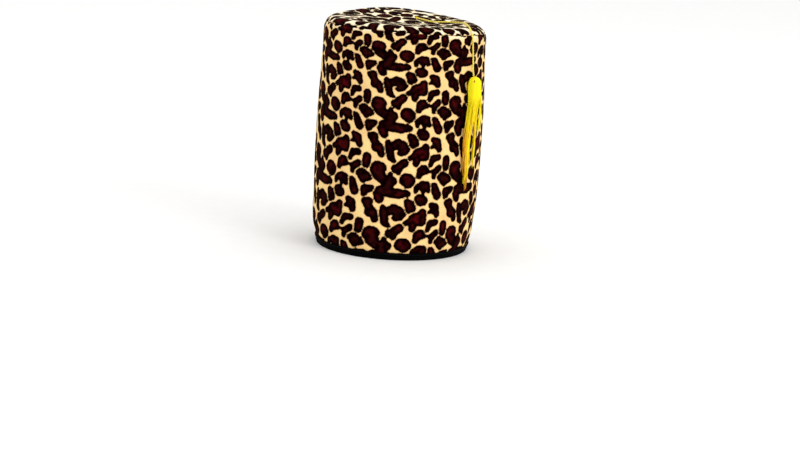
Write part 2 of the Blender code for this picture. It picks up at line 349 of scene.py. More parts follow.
def end_caps(rows, columns):
    """Fans of triangles that close both ends of a tube."""
    side = np.arange(columns)
    beside = (side + 1) % columns
    first, last = rows * columns, rows * columns + 1
    low = np.stack([beside, side, np.full(columns, first)], axis=-1)
    top = (rows - 1) * columns
    high = np.stack([top + side, top + beside, np.full(columns, last)], axis=-1)
    return np.concatenate([low, high])


# %% [markdown]
# Rayon cord is smooth extruded filament, so it shines along each ply and is darkest in the groove
# between the two. Both are painted into its colour: the golden groove is painted shade, and the paler
# yellow on the crest of each ply is a painted highlight. The fibres run along the plies: the noise uses
# a coordinate that turns with the twist. It draws streaks about 0.1 mm wide and 1 mm long, because the
# real filaments are far too fine to show.


# %% Cord finish
def rayon_cord():
    """Twisted rayon cord: warm yellow, with painted shade golden in the grooves and a painted highlight
    on the plies, under a silky sheen.
    """
    made, tree, shader = new_material(
        "twisted_rayon_cord",
        Roughness=0.5,
        IOR=1.47,
        Sheen_Weight=0.25,
        Sheen_Tint=linear("#fff3b0"),
    )
    height = add(tree, "ShaderNodeAttribute", attribute_name="ply_height")
    fibre = add(tree, "ShaderNodeAttribute", attribute_name="fibre")
    along = add(tree, "ShaderNodeAttribute", attribute_name="along")
    place = add(tree, "ShaderNodeCombineXYZ", {0: fibre.outputs["Fac"], 1: along.outputs["Fac"]})
    strands = add(
        tree,
        "ShaderNodeTexNoise",
        {"Vector": place.outputs[0], "Scale": FIBRE_SCALE, "Detail": 2.0},
    )
    # Painted shade and highlight: golden in the groove, pale yellow on the crest of each ply.
    painted_ply_shading = add(tree, "ShaderNodeMix", data_type="RGBA")
    tree.links.new(height.outputs["Fac"], painted_ply_shading.inputs[MIX_FACTOR])
    painted_ply_shading.inputs[MIX_A].default_value = linear("#dcb01c")
    painted_ply_shading.inputs[MIX_B].default_value = linear("#fff060")
    tone = add(tree, "ShaderNodeMapRange", {0: strands.outputs[0], 3: 0.86, 4: 1.12})
    scaled = add(
        tree,
        "ShaderNodeVectorMath",
        {0: painted_ply_shading.outputs[MIX_COLOUR], "Scale": tone.outputs[0]},
        operation="SCALE",
    )
    bump = add(
        tree,
        "ShaderNodeBump",
        {"Height": strands.outputs[0], "Strength": 0.5, "Distance": 0.1 * MM},
    )
    tree.links.new(scaled.outputs[0], shader.inputs["Base Color"])
    tree.links.new(bump.outputs[0], shader.inputs["Normal"])
    return made


cord_rows = len(cord_line)
cord_radius = two_ply_radius(cord_rows, CORD_SIDES, cord_length)
cord_points = tube(cord_line, outward(cord_line), cord_radius)
ply_height = (cord_radius - cord_radius.min()) / (cord_radius.max() - cord_radius.min())
side_turn = np.linspace(0, FULL_TURN, CORD_SIDES, endpoint=False)[None] * np.ones((cord_rows, 1))
along_way = np.linspace(0, cord_length, cord_rows)[:, None] * np.ones((1, CORD_SIDES))
fibre = np.sin(side_turn - FULL_TURN * along_way / TWIST_PITCH) * FIBRES_ACROSS
ends = [0.0, 0.0]
cord = mesh_piece(
    "tassel_cord_twisted",
    with_ends(cord_points),
    [grid_faces(cord_rows, CORD_SIDES), end_caps(cord_rows, CORD_SIDES)],
    [rayon_cord()],
    values={
        "ply_height": np.append(ply_height.ravel(), ends),
        "fibre": np.append(fibre.ravel(), ends),
        "along": np.append(along_way.ravel() / FIBRE_LENGTH, ends),
    },
)
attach(cord, "root")
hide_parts("tassel_cord")

# %% [markdown]
# ## The crown's shape
# The crown is a drum, a little oval at the rim where it fits a head, and straight above. Half widths
# on its four sides, noted at eleven heights, say all of that. Between two sides the wall follows a
# quarter of an ellipse, which joins its neighbours without a kink. The top corner is an arc, tighter
# at the front, and the top has sunk in the middle: its edge rises at the front and the back.

# %% Crown measurements
HEIGHT = 257.0 * MM
CLOTH = 3.0 * MM
TOP_CLOTH = 2.6 * MM
OUTLINE_COLUMNS = ("height", "minus_x", "plus_x", "front", "back")
OUTLINE = (
    (0.0, 82.9, 82.9, 95.2, 95.2),
    (14.0, 87.6, 87.6, 96.0, 96.0),
    (22.0, 90.3, 89.3, 95.9, 95.9),
    (34.0, 91.9, 90.6, 95.6, 95.6),
    (52.0, 92.4, 92.3, 95.0, 95.0),
    (92.0, 93.6, 93.8, 94.4, 94.4),
    (132.0, 94.0, 94.0, 94.0, 94.0),
    (172.0, 93.6, 93.4, 93.4, 93.4),
    (202.0, 92.9, 91.8, 92.4, 92.4),
    (228.0, 92.5, 90.7, 91.6, 91.6),
    (257.0, 92.2, 90.2, 91.0, 91.0),
)
CORNER = {"minus_x": 14.0 * MM, "plus_x": 15.0 * MM, "front": 12.0 * MM, "back": 12.0 * MM}
SEAM_LIFT = math.radians(33.0)
SEAM_GAP = 0.5 * MM
DISH = 3.5 * MM
EDGE_COLUMNS = ("turn", "rise")
EDGE = (
    (-180.0, 0.0),
    (-150.0, 0.3),
    (-120.0, 1.2),
    (-90.0, 1.8),
    (-60.0, 1.2),
    (-30.0, 0.2),
    (0.0, -0.75),
    (15.0, -1.5),
    (30.0, -2.1),
    (45.0, -1.6),
    (60.0, -1.4),
    (75.0, 0.1),
    (90.0, 1.8),
    (105.0, 3.0),
    (120.0, 3.4),
    (135.0, 2.5),
    (150.0, 0.9),
    (165.0, 0.0),
    (180.0, 0.0),
)
TROUGH_DEPTH = 0.8 * MM
TROUGH_HALF_WIDTH = 6.0 * MM
TROUGH_REACH = 70.0 * MM
TROUGH_SIDE = 6.0 * MM
TAPE = 1.2 * MM
FIT_GAP = 0.3 * MM


def half_width(side, height):
    """Half width of the side panel to one side, at a height."""
    heights = column(OUTLINE, OUTLINE_COLUMNS, "height")
    return smooth_between(height, heights, column(OUTLINE, OUTLINE_COLUMNS, side))


def wall_radius(turn, height):
    """Distance of the wall from the axis: 1 / root of (cos / across) squared + (sin / along) squared."""
    turn = np.asarray(turn, float)
    across = np.where(np.cos(turn) >= 0, half_width("plus_x", height), half_width("minus_x", height))
    along = np.where(np.sin(turn) >= 0, half_width("back", height), half_width("front", height))
    return 1 / np.sqrt((np.cos(turn) / across) ** 2 + (np.sin(turn) / along) ** 2)


def corner_radius(turn):
    """Radius of the top corner, blended round the hat from its values on the four sides."""
    across = np.where(np.cos(turn) >= 0, CORNER["plus_x"], CORNER["minus_x"])
    along = np.where(np.sin(turn) >= 0, CORNER["back"], CORNER["front"])
    return across * np.cos(turn) ** 2 + along * np.sin(turn) ** 2


def edge_height(turn):
    """Height at which the top meets its corner: puffed up at the back, and low on the +X side."""
    degrees = (np.degrees(turn) + 180) % 360 - 180
    turns = [row["turn"] for row in named_rows(EDGE, EDGE_COLUMNS)]
    return HEIGHT + smooth_between(degrees, turns, column(EDGE, EDGE_COLUMNS, "rise"))


def polar(turn, radius, height):
    """Points at a turn about the axis, a distance from it and a height."""
    turn, radius, height = np.broadcast_arrays(turn, radius, height)
    return np.stack([radius * np.cos(turn), radius * np.sin(turn), height], axis=-1)


def corner_point(turn, lift, depth):
    """A point of the corner: lift is 0 at the wall and a right angle on top, and depth goes into the
    cloth."""
    radius = corner_radius(turn)
    foot = edge_height(turn) - radius
    reach = wall_radius(turn, foot) - radius + (radius - depth) * np.cos(lift)
    return polar(turn, reach, foot + (radius - depth) * np.sin(lift))


def flat_reach(turn):
    """Distance from the axis to where the corner ends and the top begins."""
    radius = corner_radius(turn)
    return wall_radius(turn, edge_height(turn) - radius) - radius


all_round = np.linspace(0, FULL_TURN, 361)
middle_ring = polar(all_round, wall_radius(all_round, HEIGHT / 2), 0.0)
middle_girth = float(np.linalg.norm(np.diff(middle_ring, axis=0), axis=1).sum())
print(f"crown: {HEIGHT / MM:.0f} mm tall, {middle_girth / MM:.0f} mm round its middle")

# %% [markdown]
# ## The print: one repeat
# Leopard cloth is printed from a roller, so the same group of spots comes back every 93 mm across and
# every 72 mm up. One group is charted here. Each spot is a few brush strokes: a line from one point to
# another with a round end at each, whose radius may change on the way. Rows that begin with "cut" take a
# bite out of the spot above them. Wet ink creeps a millimetre further into the pile, but where two spots
# nearly touch, a bare line is left between them.

# %% Print chart
REPEAT_ACROSS = 93.0
REPEAT_UP = 72.0
CREEP = 1.0
BARE_LINE = 1.0
SPOT_BLEND, CUT_BLEND = 1.6, 0.8
FAR_INK = 8.0
PRINT_COLUMNS = ("spot", "x1", "z1", "r1", "x2", "z2", "r2")
PRINT = (
    ("seahorse", -30.0, 136.2, 3.9, -26.6, 136.0, 4.1),
    ("seahorse", -28.0, 133.0, 3.7, -24.0, 127.5, 4.1),
    ("seahorse", -25.0, 124.3, 4.3, -21.0, 124.5, 4.3),
    ("seahorse", -20.5, 124.0, 4.0, -18.2, 117.4, 3.2),
    ("curl", -10.8, 130.9, 2.6, -9.4, 124.0, 3.8),
    ("curl", -9.2, 126.0, 4.0, -7.5, 122.5, 3.6),
    ("curl", -8.8, 121.0, 3.6, -7.8, 115.5, 3.2),
    ("curl", -7.3, 114.5, 3.0, -2.8, 110.6, 1.5),
    ("curl", -2.5, 128.5, 4.6, 1.0, 130.0, 4.8),
    ("curl", 1.0, 130.0, 4.8, 5.5, 127.5, 5.2),
    ("curl", 5.5, 127.5, 5.2, 6.5, 124.0, 5.0),
    ("curl", 6.0, 123.0, 4.6, 3.5, 121.8, 4.0),
    ("curl", 9.0, 126.0, 2.0, 12.3, 124.9, 1.2),
    ("cut", -3.0, 121.6, 2.2, -0.6, 122.8, 1.6),
    ("ridge", -12.0, 149.0, 4.8, 4.0, 147.3, 4.8),
    ("ridge", 4.0, 147.5, 4.2, 10.0, 147.6, 3.9),
    ("ridge", 12.3, 148.4, 3.2, 14.2, 147.6, 2.8),
    ("ridge", -15.0, 150.3, 4.0, -8.0, 152.0, 5.0),
    ("ridge", -7.5, 156.0, 5.0, -6.5, 159.0, 5.2),
    ("ridge", -7.0, 161.5, 5.4, -3.5, 160.5, 4.6),
    ("ridge", -7.0, 163.0, 3.6, -6.3, 168.5, 1.8),
    ("ridge", -19.0, 165.0, 3.5, -9.5, 162.5, 3.5),
    ("ridge", -18.3, 149.3, 3.2, -15.4, 140.0, 4.2),
    ("ridge", -20.0, 146.0, 2.4, -18.0, 141.5, 2.6),
    ("ridge", -21.0, 101.0, 7.8, -19.6, 100.5, 8.1),
    ("ridge", -25.0, 98.0, 3.0, -23.0, 98.0, 3.6),
    ("ridge", -19.0, 98.0, 5.5, -16.5, 93.5, 4.5),
    ("ridge", -23.0, 93.5, 3.0, -14.0, 88.5, 3.5),
    ("cut", 11.2, 144.6, 0.6, 12.0, 143.6, 1.2),
    ("cut", -11.4, 99.0, 1.6, -10.0, 95.5, 1.5),
    ("leaf", -43.0, 94.4, 3.1, -37.4, 94.7, 4.1),
    ("leaf", -37.4, 91.6, 5.0, -32.0, 90.8, 4.7),
    ("leaf", -36.0, 87.6, 3.8, -35.8, 86.6, 3.0),
    ("leaf", -32.4, 90.2, 3.7, -28.2, 89.8, 2.2),
    ("oblong", -48.2, 155.0, 3.9, -44.2, 145.4, 4.5),
    ("oblong", -50.6, 157.0, 1.8, -49.4, 156.4, 2.2),
    ("hook", -33.0, 149.8, 3.2, -25.0, 150.6, 2.8),
    ("hook", -33.2, 149.0, 3.3, -32.8, 143.6, 3.0),
    ("hook", -30.0, 148.4, 3.0, -28.0, 149.0, 2.8),
    ("oval", -34.0, 112.3, 4.2, -34.2, 104.4, 4.2),
    ("slipper", 7.5, 109.3, 4.2, -1.0, 103.2, 4.6),
    ("slipper", 8.0, 110.2, 3.2, 9.0, 110.6, 3.0),
    ("slipper", 2.6, 101.0, 2.6, 2.3, 98.3, 1.9),
    ("block", 49.4, 103.8, 3.2, 45.8, 99.8, 3.8),
    ("block", 45.8, 99.5, 3.8, 44.0, 94.6, 2.8),
    ("block", 43.0, 99.8, 1.8, 38.0, 100.8, 0.6),
    ("block", 28.2, 103.3, 4.1, 31.2, 103.6, 3.9),
    ("block", 27.2, 101.0, 3.8, 25.6, 95.9, 2.9),
    ("block", 30.0, 100.4, 3.4, 34.8, 100.6, 2.2),
    ("comma", 42.2, 115.0, 3.2, 48.3, 115.6, 3.0),
    ("comma", 41.0, 114.0, 3.1, 38.8, 107.8, 2.2),
    ("blot", 32.2, 127.0, 3.8, 31.8, 118.0, 4.1),
    ("blot", 22.5, 120.8, 4.8, 30.0, 119.5, 5.2),
    ("blot", 24.0, 122.0, 4.2, 30.5, 123.0, 4.4),
    ("blot", 26.0, 117.0, 3.6, 32.0, 117.0, 4.0),
    ("blot", 20.0, 118.5, 3.2, 14.0, 115.3, 2.2),
    ("blot", 21.7, 113.5, 3.7, 21.5, 109.6, 3.5),
    ("bean", 42.3, 134.7, 2.8, 46.7, 131.8, 4.2),
    ("bean", 46.7, 131.5, 4.2, 49.2, 124.8, 3.2),
    ("bean", 46.0, 129.3, 3.4, 39.6, 127.2, 1.1),
    ("slab", 14.6, 138.6, 2.9, 19.4, 137.2, 2.9),
    ("slab", 16.4, 135.5, 4.0, 18.6, 133.0, 4.6),
    ("slab", 17.0, 130.0, 3.4, 20.8, 131.2, 3.0),
    ("arch", 27.4, 141.6, 5.0, 29.2, 140.3, 5.1),
    ("arch", 29.2, 140.8, 5.0, 32.2, 140.0, 4.6),
    ("arch", 31.4, 153.0, 2.8, 31.6, 147.0, 0.7),
    ("arch", 23.4, 155.5, 2.4, 23.2, 150.6, 1.8),
    ("arch", 25.6, 155.8, 2.8, 30.3, 157.0, 4.2),
    ("arch", 30.3, 156.6, 4.6, 34.6, 156.4, 4.7),
    ("arch", 36.2, 154.0, 3.8, 37.6, 151.9, 2.7),
    ("cut", 27.3, 151.9, 1.2, 27.3, 149.6, 1.6),
    ("ring", 11.5, 91.5, 6.4, 13.5, 91.0, 6.6),
    ("ring", 17.0, 90.0, 4.2, 17.3, 88.0, 3.8),
    ("ring", 13.5, 87.0, 4.2, 14.0, 86.0, 3.6),
    ("ring", 9.8, 89.5, 4.4, 12.5, 87.8, 4.0),
)

# %% [markdown]
# Some spots have a wine-red heart, others are brown all through. These few places say where the red
# is strongest, as a centre and a radius.

# %% Red hearts
HEART_COLUMNS = ("x", "z", "radius", "strength")
HEARTS = (
    (-48.5, 151.5, 5.0, 0.9),
    (-18.0, 144.0, 3.5, 0.8),
    (-21.0, 101.5, 4.5, 0.7),
    (-35.0, 110.5, 4.0, 0.8),
    (29.5, 101.5, 3.5, 0.8),
    (26.0, 119.0, 6.5, 1.0),
    (31.0, 127.0, 3.5, 0.8),
    (23.5, 144.5, 3.5, 0.8),
    (13.0, 92.0, 3.5, 0.8),
    (9.0, 109.8, 3.0, 0.6),
    (4.0, 147.0, 3.5, 0.5),
    (27.0, 160.0, 3.0, 0.5),
    (43.0, 134.5, 3.0, 0.5),
    (16.0, 135.5, 3.0, 0.4),
    (46.0, 101.5, 3.0, 0.4),
    (-23.5, 123.0, 3.0, 0.4),
)


def nearest(value, middle, repeat):
    """How far value lies from the nearest copy of middle, in a pattern that repeats."""
    return (value - middle + repeat / 2) % repeat - repeat / 2


def stroke_distance(u, v, x1, z1, r1, x2, z2, r2):
    """Distance to one stroke in mm, negative inside it: to the nearest point of its line, less the
    radius there."""
    du = nearest(u, (x1 + x2) / 2, REPEAT_ACROSS) + (x2 - x1) / 2
    dv = nearest(v, (z1 + z2) / 2, REPEAT_UP) + (z2 - z1) / 2
    run, rise = x2 - x1, z2 - z1
    along = np.clip((du * run + dv * rise) / (run**2 + rise**2), 0, 1)
    return np.hypot(du - along * run, dv - along * rise) - (r1 + along * (r2 - r1))


def soft_minimum(a, b, blend):
    """The smaller of two distances, rounded off where they are within blend of each other."""
    share = np.clip(0.5 + (b - a) / (2 * blend), 0, 1)
    return b + (a - b) * share - blend * share * (1 - share)


def print_distance(u, v, creep=CREEP):
    """Distance to the nearest inked edge in mm, negative inside. Strokes of one spot run together
    softly, and cuts are taken out of it. The ink creeps out a little, but it stops half a BARE_LINE
    short of the place midway between two spots."""
    spots, current = {}, None
    for stroke in named_rows(PRINT, PRINT_COLUMNS):
        name = stroke.pop("spot")
        distance = stroke_distance(u, v, **stroke)
        if name == "cut":
            spots[current] = -soft_minimum(-spots[current], distance, CUT_BLEND)
            continue
        current = name
        spots[name] = soft_minimum(spots[name], distance, SPOT_BLEND) if name in spots else distance
    first, second = two_smallest(list(spots.values()))
    midway = (second - first) / 2
    return np.clip(np.maximum(first - creep, BARE_LINE / 2 - midway), -FAR_INK, FAR_INK)


def two_smallest(distances):
    """The smallest and the second smallest of many distances, place by place."""
    first, second = distances[0], np.full_like(distances[0], np.inf)
    for distance in distances[1:]:
        second = np.minimum(second, np.maximum(first, distance))
        first = np.minimum(first, distance)
    return first, second


def heart_strength(u, v):
    """How red the dye is: the strongest of some soft round patches."""
    strength = np.zeros_like(u)
    for red in named_rows(HEARTS, HEART_COLUMNS):
        beside = nearest(u, red["x"], REPEAT_ACROSS)
        away_from = np.hypot(beside, nearest(v, red["z"], REPEAT_UP)) / red["radius"]
        strength = np.maximum(strength, red["strength"] * np.exp(-(away_from**2)))
    return strength


probe_u, probe_v = np.meshgrid(np.arange(0, REPEAT_ACROSS, 1.0), np.arange(0, REPEAT_UP, 1.0))
inked = (print_distance(probe_u, probe_v) < 0).mean()
print(f"print: {len(PRINT)} strokes and cuts, dark ink on {inked:.0%} of the cloth")

# %% [markdown]
# ## The print: laid on the hat
# Cloth stretched over a drum never lies quite square. Where five easily known spots show on the hat, and
# in which copy of the repeat they are, was read off. From those, a few smooth terms are fitted by least
# squares: they tell, for any place on the wall, which place of the roller's print is there. The terms
# use the sine and cosine of the angle, so they stay tame round the unseen back.

# %% Lay of the print
PRINT_RADIUS = 94.0
FACING_TURN = -math.pi / 2 + CAMERA_AZIMUTH
SPOT_POINTS = {
    "block corner": (31.9, 130.8),
    "dome top": (-20.5, 109.3),
    "oval middle": (-34.0, 108.5),
    "ring middle": (12.8, 91.0),
    "oblong middle": (-46.8, 150.3),
}
SIGHTING_COLUMNS = ("spot", "copy_across", "copy_up", "across", "height")
SIGHTINGS = (
    ("block corner", 0, -1, 31.5, 57.5),
    ("block corner", 0, 0, 31.5, 131.0),
    ("block corner", 0, 1, 22.0, 203.0),
    ("block corner", -1, -1, -66.0, 60.5),
    ("block corner", -1, 0, -63.0, 134.0),
    ("block corner", -1, 1, -70.0, 201.0),
    ("dome top", 0, -1, -24.0, 36.0),
    ("dome top", 0, 0, -22.0, 110.0),
    ("dome top", 0, 1, -27.0, 179.5),
    ("dome top", 0, 2, -31.0, 241.0),
    ("dome top", 1, -1, 74.0, 39.0),
    ("dome top", 1, 0, 69.0, 113.0),
    ("dome top", 1, 1, 66.0, 187.0),
    ("dome top", 1, 2, 62.0, 247.0),
    ("oval middle", 0, -1, -39.0, 34.0),
    ("oval middle", 0, 0, -35.0, 108.5),
    ("oval middle", 0, 1, -39.0, 178.0),
    ("oval middle", 0, 2, -45.0, 240.0),
    ("oval middle", 1, -1, 61.0, 35.0),
    ("oval middle", 1, 0, 57.5, 109.0),
    ("oval middle", 1, 1, 49.0, 184.0),
    ("oval middle", 1, 2, 47.0, 246.0),
    ("ring middle", 0, -1, 14.0, 19.0),
    ("ring middle", 0, 0, 13.0, 92.0),
    ("ring middle", 0, 1, 9.0, 163.0),
    ("ring middle", 0, 2, 4.0, 230.0),
    ("ring middle", -1, 0, -83.0, 95.0),
    ("ring middle", -1, 1, -88.0, 168.0),
    ("ring middle", -1, 2, -86.0, 231.0),
    ("oblong middle", 0, -1, -48.0, 78.0),
    ("oblong middle", 1, -1, 49.0, 77.0),
    ("oblong middle", 0, 0, -45.2, 151.0),
    ("oblong middle", 1, 0, 43.0, 151.5),
    ("oblong middle", 0, 1, -54.0, 217.0),
    ("oblong middle", 1, 1, 36.0, 219.0),
)
MIDDLE_HEIGHT = 130.0
HALF_HEIGHT = 110.0
BUMP_HEIGHT = 122.0
BUMP_ACROSS, BUMP_UP = 80.0, 35.0
FARTHEST_H = 1.2
FIRST_COPY_WEIGHT = 3.0
MODEST_WEIGHT = 0.1


def lay_terms(across, height):
    """The smooth terms of the fit: 1, h, h squared, h cubed, and sine and cosine of the angle with and
    without h, where h runs from -1 near the rim to 1 near the top. Last come two for a soft bump
    round the copy that the chart was drawn from."""
    across, height = np.asarray(across), np.asarray(height)
    angle = across / PRINT_RADIUS
    h = np.clip((height - MIDDLE_HEIGHT) / HALF_HEIGHT, -FARTHEST_H, FARTHEST_H)
    terms = [h * 0 + 1, h, h**2, h**3, np.sin(angle), np.cos(angle), np.sin(angle) * h]
    terms += [np.sin(angle) * h**2, np.cos(angle) * h]
    bump = np.exp(-((across / BUMP_ACROSS) ** 2) - ((height - BUMP_HEIGHT) / BUMP_UP) ** 2)
    terms += [bump, bump * np.sin(angle)]
    return np.stack(terms, axis=-1)


def fit_lay():
    """Least squares for the two shifts, with a small weight that keeps every term modest."""
    seen = named_rows(SIGHTINGS, SIGHTING_COLUMNS)
    across = np.array([row["across"] for row in seen])
    height = np.array([row["height"] for row in seen])
    chart = np.array([SPOT_POINTS[row["spot"]] for row in seen])
    copies = np.array(
        [[row["copy_across"] * REPEAT_ACROSS, row["copy_up"] * REPEAT_UP] for row in seen]
    )
    wanted = chart + copies - np.stack([across, height], axis=-1)
    terms = lay_terms(across, height)
    modest = MODEST_WEIGHT * np.eye(terms.shape[1])
    trust = np.where((copies == 0).all(axis=1), FIRST_COPY_WEIGHT, 1.0)[:, None]
    weights = np.linalg.solve((terms * trust).T @ terms + modest, (terms * trust).T @ wanted)
    left = np.abs(terms @ weights - wanted)
    print(f"lay of the print: misses by {left.mean():.1f} mm on average, {left.max():.1f} mm at most")
    return weights


lay_weights = fit_lay()


def print_on_wall(turn, height):
    """Print coordinates in mm of a place on the wall: its own place, shifted as the fit says."""
    facing = (turn - FACING_TURN + math.pi) % FULL_TURN - math.pi
    across = facing * PRINT_RADIUS
    shift = lay_terms(across, height / MM) @ lay_weights
    return across + shift[..., 0], height / MM + shift[..., 1]


# %% [markdown]
# ## Printed velour
# Velour is a knitted cloth with a short cut pile, so it scatters light softly, glows where it is seen
# edge on, and never mirrors. Dark ink sinks into the tips: each spot has a near-black rim and a brown or
# wine-red heart, and its edge is a little furry because tufts carry the ink across. The ground is cream
# with warmer patches and a warm halo round each spot. On the top the ground is painted paler, a painted
# sheen where the tufts point up at the light. The tufts are about 0.3 mm across, too fine to show, so
# the bump draws them at 0.7 mm.


# %% Velour finish
# Each ground colour is given twice: on the wall, and on the top, where it is paler as a painted sheen.
CREAM = ("#f6d891", "#fef3d8")
TAN = ("#edbd82", "#f8e0b6")
INK_RIM, INK_BROWN, INK_RED = "#080001", "#2c0808", "#50070c"
# A noise of scale 1000 repeats about every millimetre. So inked edges waver over 3 mm, tufts are
# 0.7 mm wide, the pile is brushed in patches of 7 mm, and warmer patches of the ground are 22 mm wide.
EDGE_WAVER, TUFTS, BRUSHED, WARM_PATCHES = 320.0, 1400.0, 140.0, 45.0
# In mm from a spot's edge: how far it wavers, how far tufts carry the ink, half the width over which
# it fades, where its rim turns into its heart, and where the halo round it ends.
WAVER_REACH, TUFT_REACH, EDGE_FADE = 0.4, 0.35, 0.4
HEART_DEPTHS, HALO = (2.0, 4.2), (0.2, 1.7)


def printed_velour():
    """Knitted velour, cut pile, printed. Reads the point values ink (mm to the edge) and heart."""
    made, tree, shader = new_material(
        "leopard_velour",
        Roughness=0.95,
        IOR=1.5,
        Specular_IOR_Level=0.0,
        Sheen_Weight=0.015,
        Sheen_Roughness=0.45,
        Sheen_Tint=linear("#fff0d8"),
    )
    place = add(tree, "ShaderNodeTexCoord").outputs["Object"]
    ink = add(tree, "ShaderNodeAttribute", attribute_name="ink").outputs["Fac"]
    heart = add(tree, "ShaderNodeAttribute", attribute_name="heart").outputs["Fac"]

    wander = add(tree, "ShaderNodeTexNoise", {"Vector": place, "Scale": EDGE_WAVER, "Detail": 2.0})
    tufts = add(tree, "ShaderNodeTexNoise", {"Vector": place, "Scale": TUFTS, "Detail": 1.0})
    ragged = add(
        tree,
        "ShaderNodeMapRange",
        {0: wander.outputs[0], 1: 0.25, 2: 0.75, 3: -WAVER_REACH, 4: WAVER_REACH},
    )
    furry = add(
        tree,
        "ShaderNodeMapRange",
        {0: tufts.outputs[0], 1: 0.25, 2: 0.75, 3: -TUFT_REACH, 4: TUFT_REACH},
    )
    both = add(tree, "ShaderNodeMath", {0: ragged.outputs[0], 1: furry.outputs[0]})
    edge = add(tree, "ShaderNodeMath", {0: ink, 1: both.outputs[0]}).outputs[0]
    inked = add(
        tree,
        "ShaderNodeMapRange",
        {0: edge, 1: EDGE_FADE, 2: -EDGE_FADE, 3: 0.0, 4: 1.0},
        interpolation_type="SMOOTHSTEP",
    )
    deep = add(
        tree,
        "ShaderNodeMapRange",
        {0: edge, 1: -HEART_DEPTHS[0], 2: -HEART_DEPTHS[1], 3: 0.0, 4: 1.0},
        interpolation_type="SMOOTHSTEP",
    )

    patches = add(tree, "ShaderNodeTexNoise", {"Vector": place, "Scale": BRUSHED, "Detail": 3.0})
    uneven = add(tree, "ShaderNodeMapRange", {0: patches.outputs[0], 1: 0.38, 2: 0.62, 3: 0.05, 4: 1.0})
    brown = add(
        tree, "ShaderNodeMath", {0: deep.outputs[0], 1: uneven.outputs[0]}, operation="MULTIPLY"
    )
    redness = add(tree, "ShaderNodeMath", {0: heart, 1: brown.outputs[0]}, operation="MULTIPLY")
    spot_brown = add(tree, "ShaderNodeMix", {MIX_FACTOR: brown.outputs[0]}, data_type="RGBA")
    spot_brown.inputs[MIX_A].default_value = linear(INK_RIM)
    spot_brown.inputs[MIX_B].default_value = linear(INK_BROWN)
    spot = add(tree, "ShaderNodeMix", {MIX_FACTOR: redness.outputs[0]}, data_type="RGBA")
    tree.links.new(spot_brown.outputs[MIX_COLOUR], spot.inputs[MIX_A])
    spot.inputs[MIX_B].default_value = linear(INK_RED)

    warmth = add(tree, "ShaderNodeTexNoise", {"Vector": place, "Scale": WARM_PATCHES, "Detail": 3.0})
    warm = add(tree, "ShaderNodeMapRange", {0: warmth.outputs[0], 1: 0.42, 2: 0.7, 3: 0.0, 4: 0.8})
    halo = add(
        tree,
        "ShaderNodeMapRange",
        {0: edge, 1: HALO[0], 2: HALO[1], 3: 0.9, 4: 0.0},
        interpolation_type="SMOOTHSTEP",
    )
    warmest = add(
        tree, "ShaderNodeMath", {0: warm.outputs[0], 1: halo.outputs[0]}, operation="MAXIMUM"
    )
    ground = add(tree, "ShaderNodeMix", {MIX_FACTOR: warmest.outputs[0]}, data_type="RGBA")
    # Painted sheen: the ground is mixed towards its paler top colour where the cloth faces up.
    facing = add(tree, "ShaderNodeNewGeometry").outputs["Normal"]
    upward = add(tree, "ShaderNodeSeparateXYZ", {0: facing}).outputs[2]
    painted_top_sheen = add(tree, "ShaderNodeMapRange", {0: upward, 1: 0.05, 2: 0.85, 3: 0.0, 4: 1.0})
    for socket, (on_wall_colour, top_colour_with_painted_sheen) in ((MIX_A, CREAM), (MIX_B, TAN)):
        ground_with_top_sheen = add(tree, "ShaderNodeMix", {MIX_FACTOR: painted_top_sheen.outputs[0]}, data_type="RGBA")
        ground_with_top_sheen.inputs[MIX_A].default_value = linear(on_wall_colour)
        ground_with_top_sheen.inputs[MIX_B].default_value = linear(top_colour_with_painted_sheen)
        tree.links.new(ground_with_top_sheen.outputs[MIX_COLOUR], ground.inputs[socket])

    cloth = add(tree, "ShaderNodeMix", {MIX_FACTOR: inked.outputs[0]}, data_type="RGBA")
    tree.links.new(ground.outputs[MIX_COLOUR], cloth.inputs[MIX_A])
    tree.links.new(spot.outputs[MIX_COLOUR], cloth.inputs[MIX_B])
    shade = add(tree, "ShaderNodeMapRange", {0: tufts.outputs[0], 1: 0.3, 2: 0.7, 3: 0.88, 4: 1.08})
    shaded = add(
        tree,
        "ShaderNodeVectorMath",
        {0: cloth.outputs[MIX_COLOUR], "Scale": shade.outputs[0]},
        operation="SCALE",
    )
    tree.links.new(shaded.outputs[0], shader.inputs["Base Color"])

    pile = add(
        tree,
        "ShaderNodeBump",
        {"Height": tufts.outputs[0], "Strength": 0.55, "Distance": 0.25 * MM},
    )
    brushed = add(
        tree,
        "ShaderNodeBump",
        {
            "Height": patches.outputs[0],
            "Strength": 0.35,
            "Distance": 0.6 * MM,
            "Normal": pile.outputs[0],
        },
    )
    tree.links.new(brushed.outputs[0], shader.inputs["Normal"])
    return made


velour = printed_velour()

# %% [markdown]
# The back of a printed pile cloth is a plain knit, off white, and the print shows through it faintly.
# It is what you see when you look up into the hat, because there is no lining.


# %% Knitted back
# A wave texture of scale 1 repeats every 314 mm. This one draws the columns of loops 1.2 mm apart,
# about twice as coarse as they are, so that they show.
KNIT_SCALE = 260.0


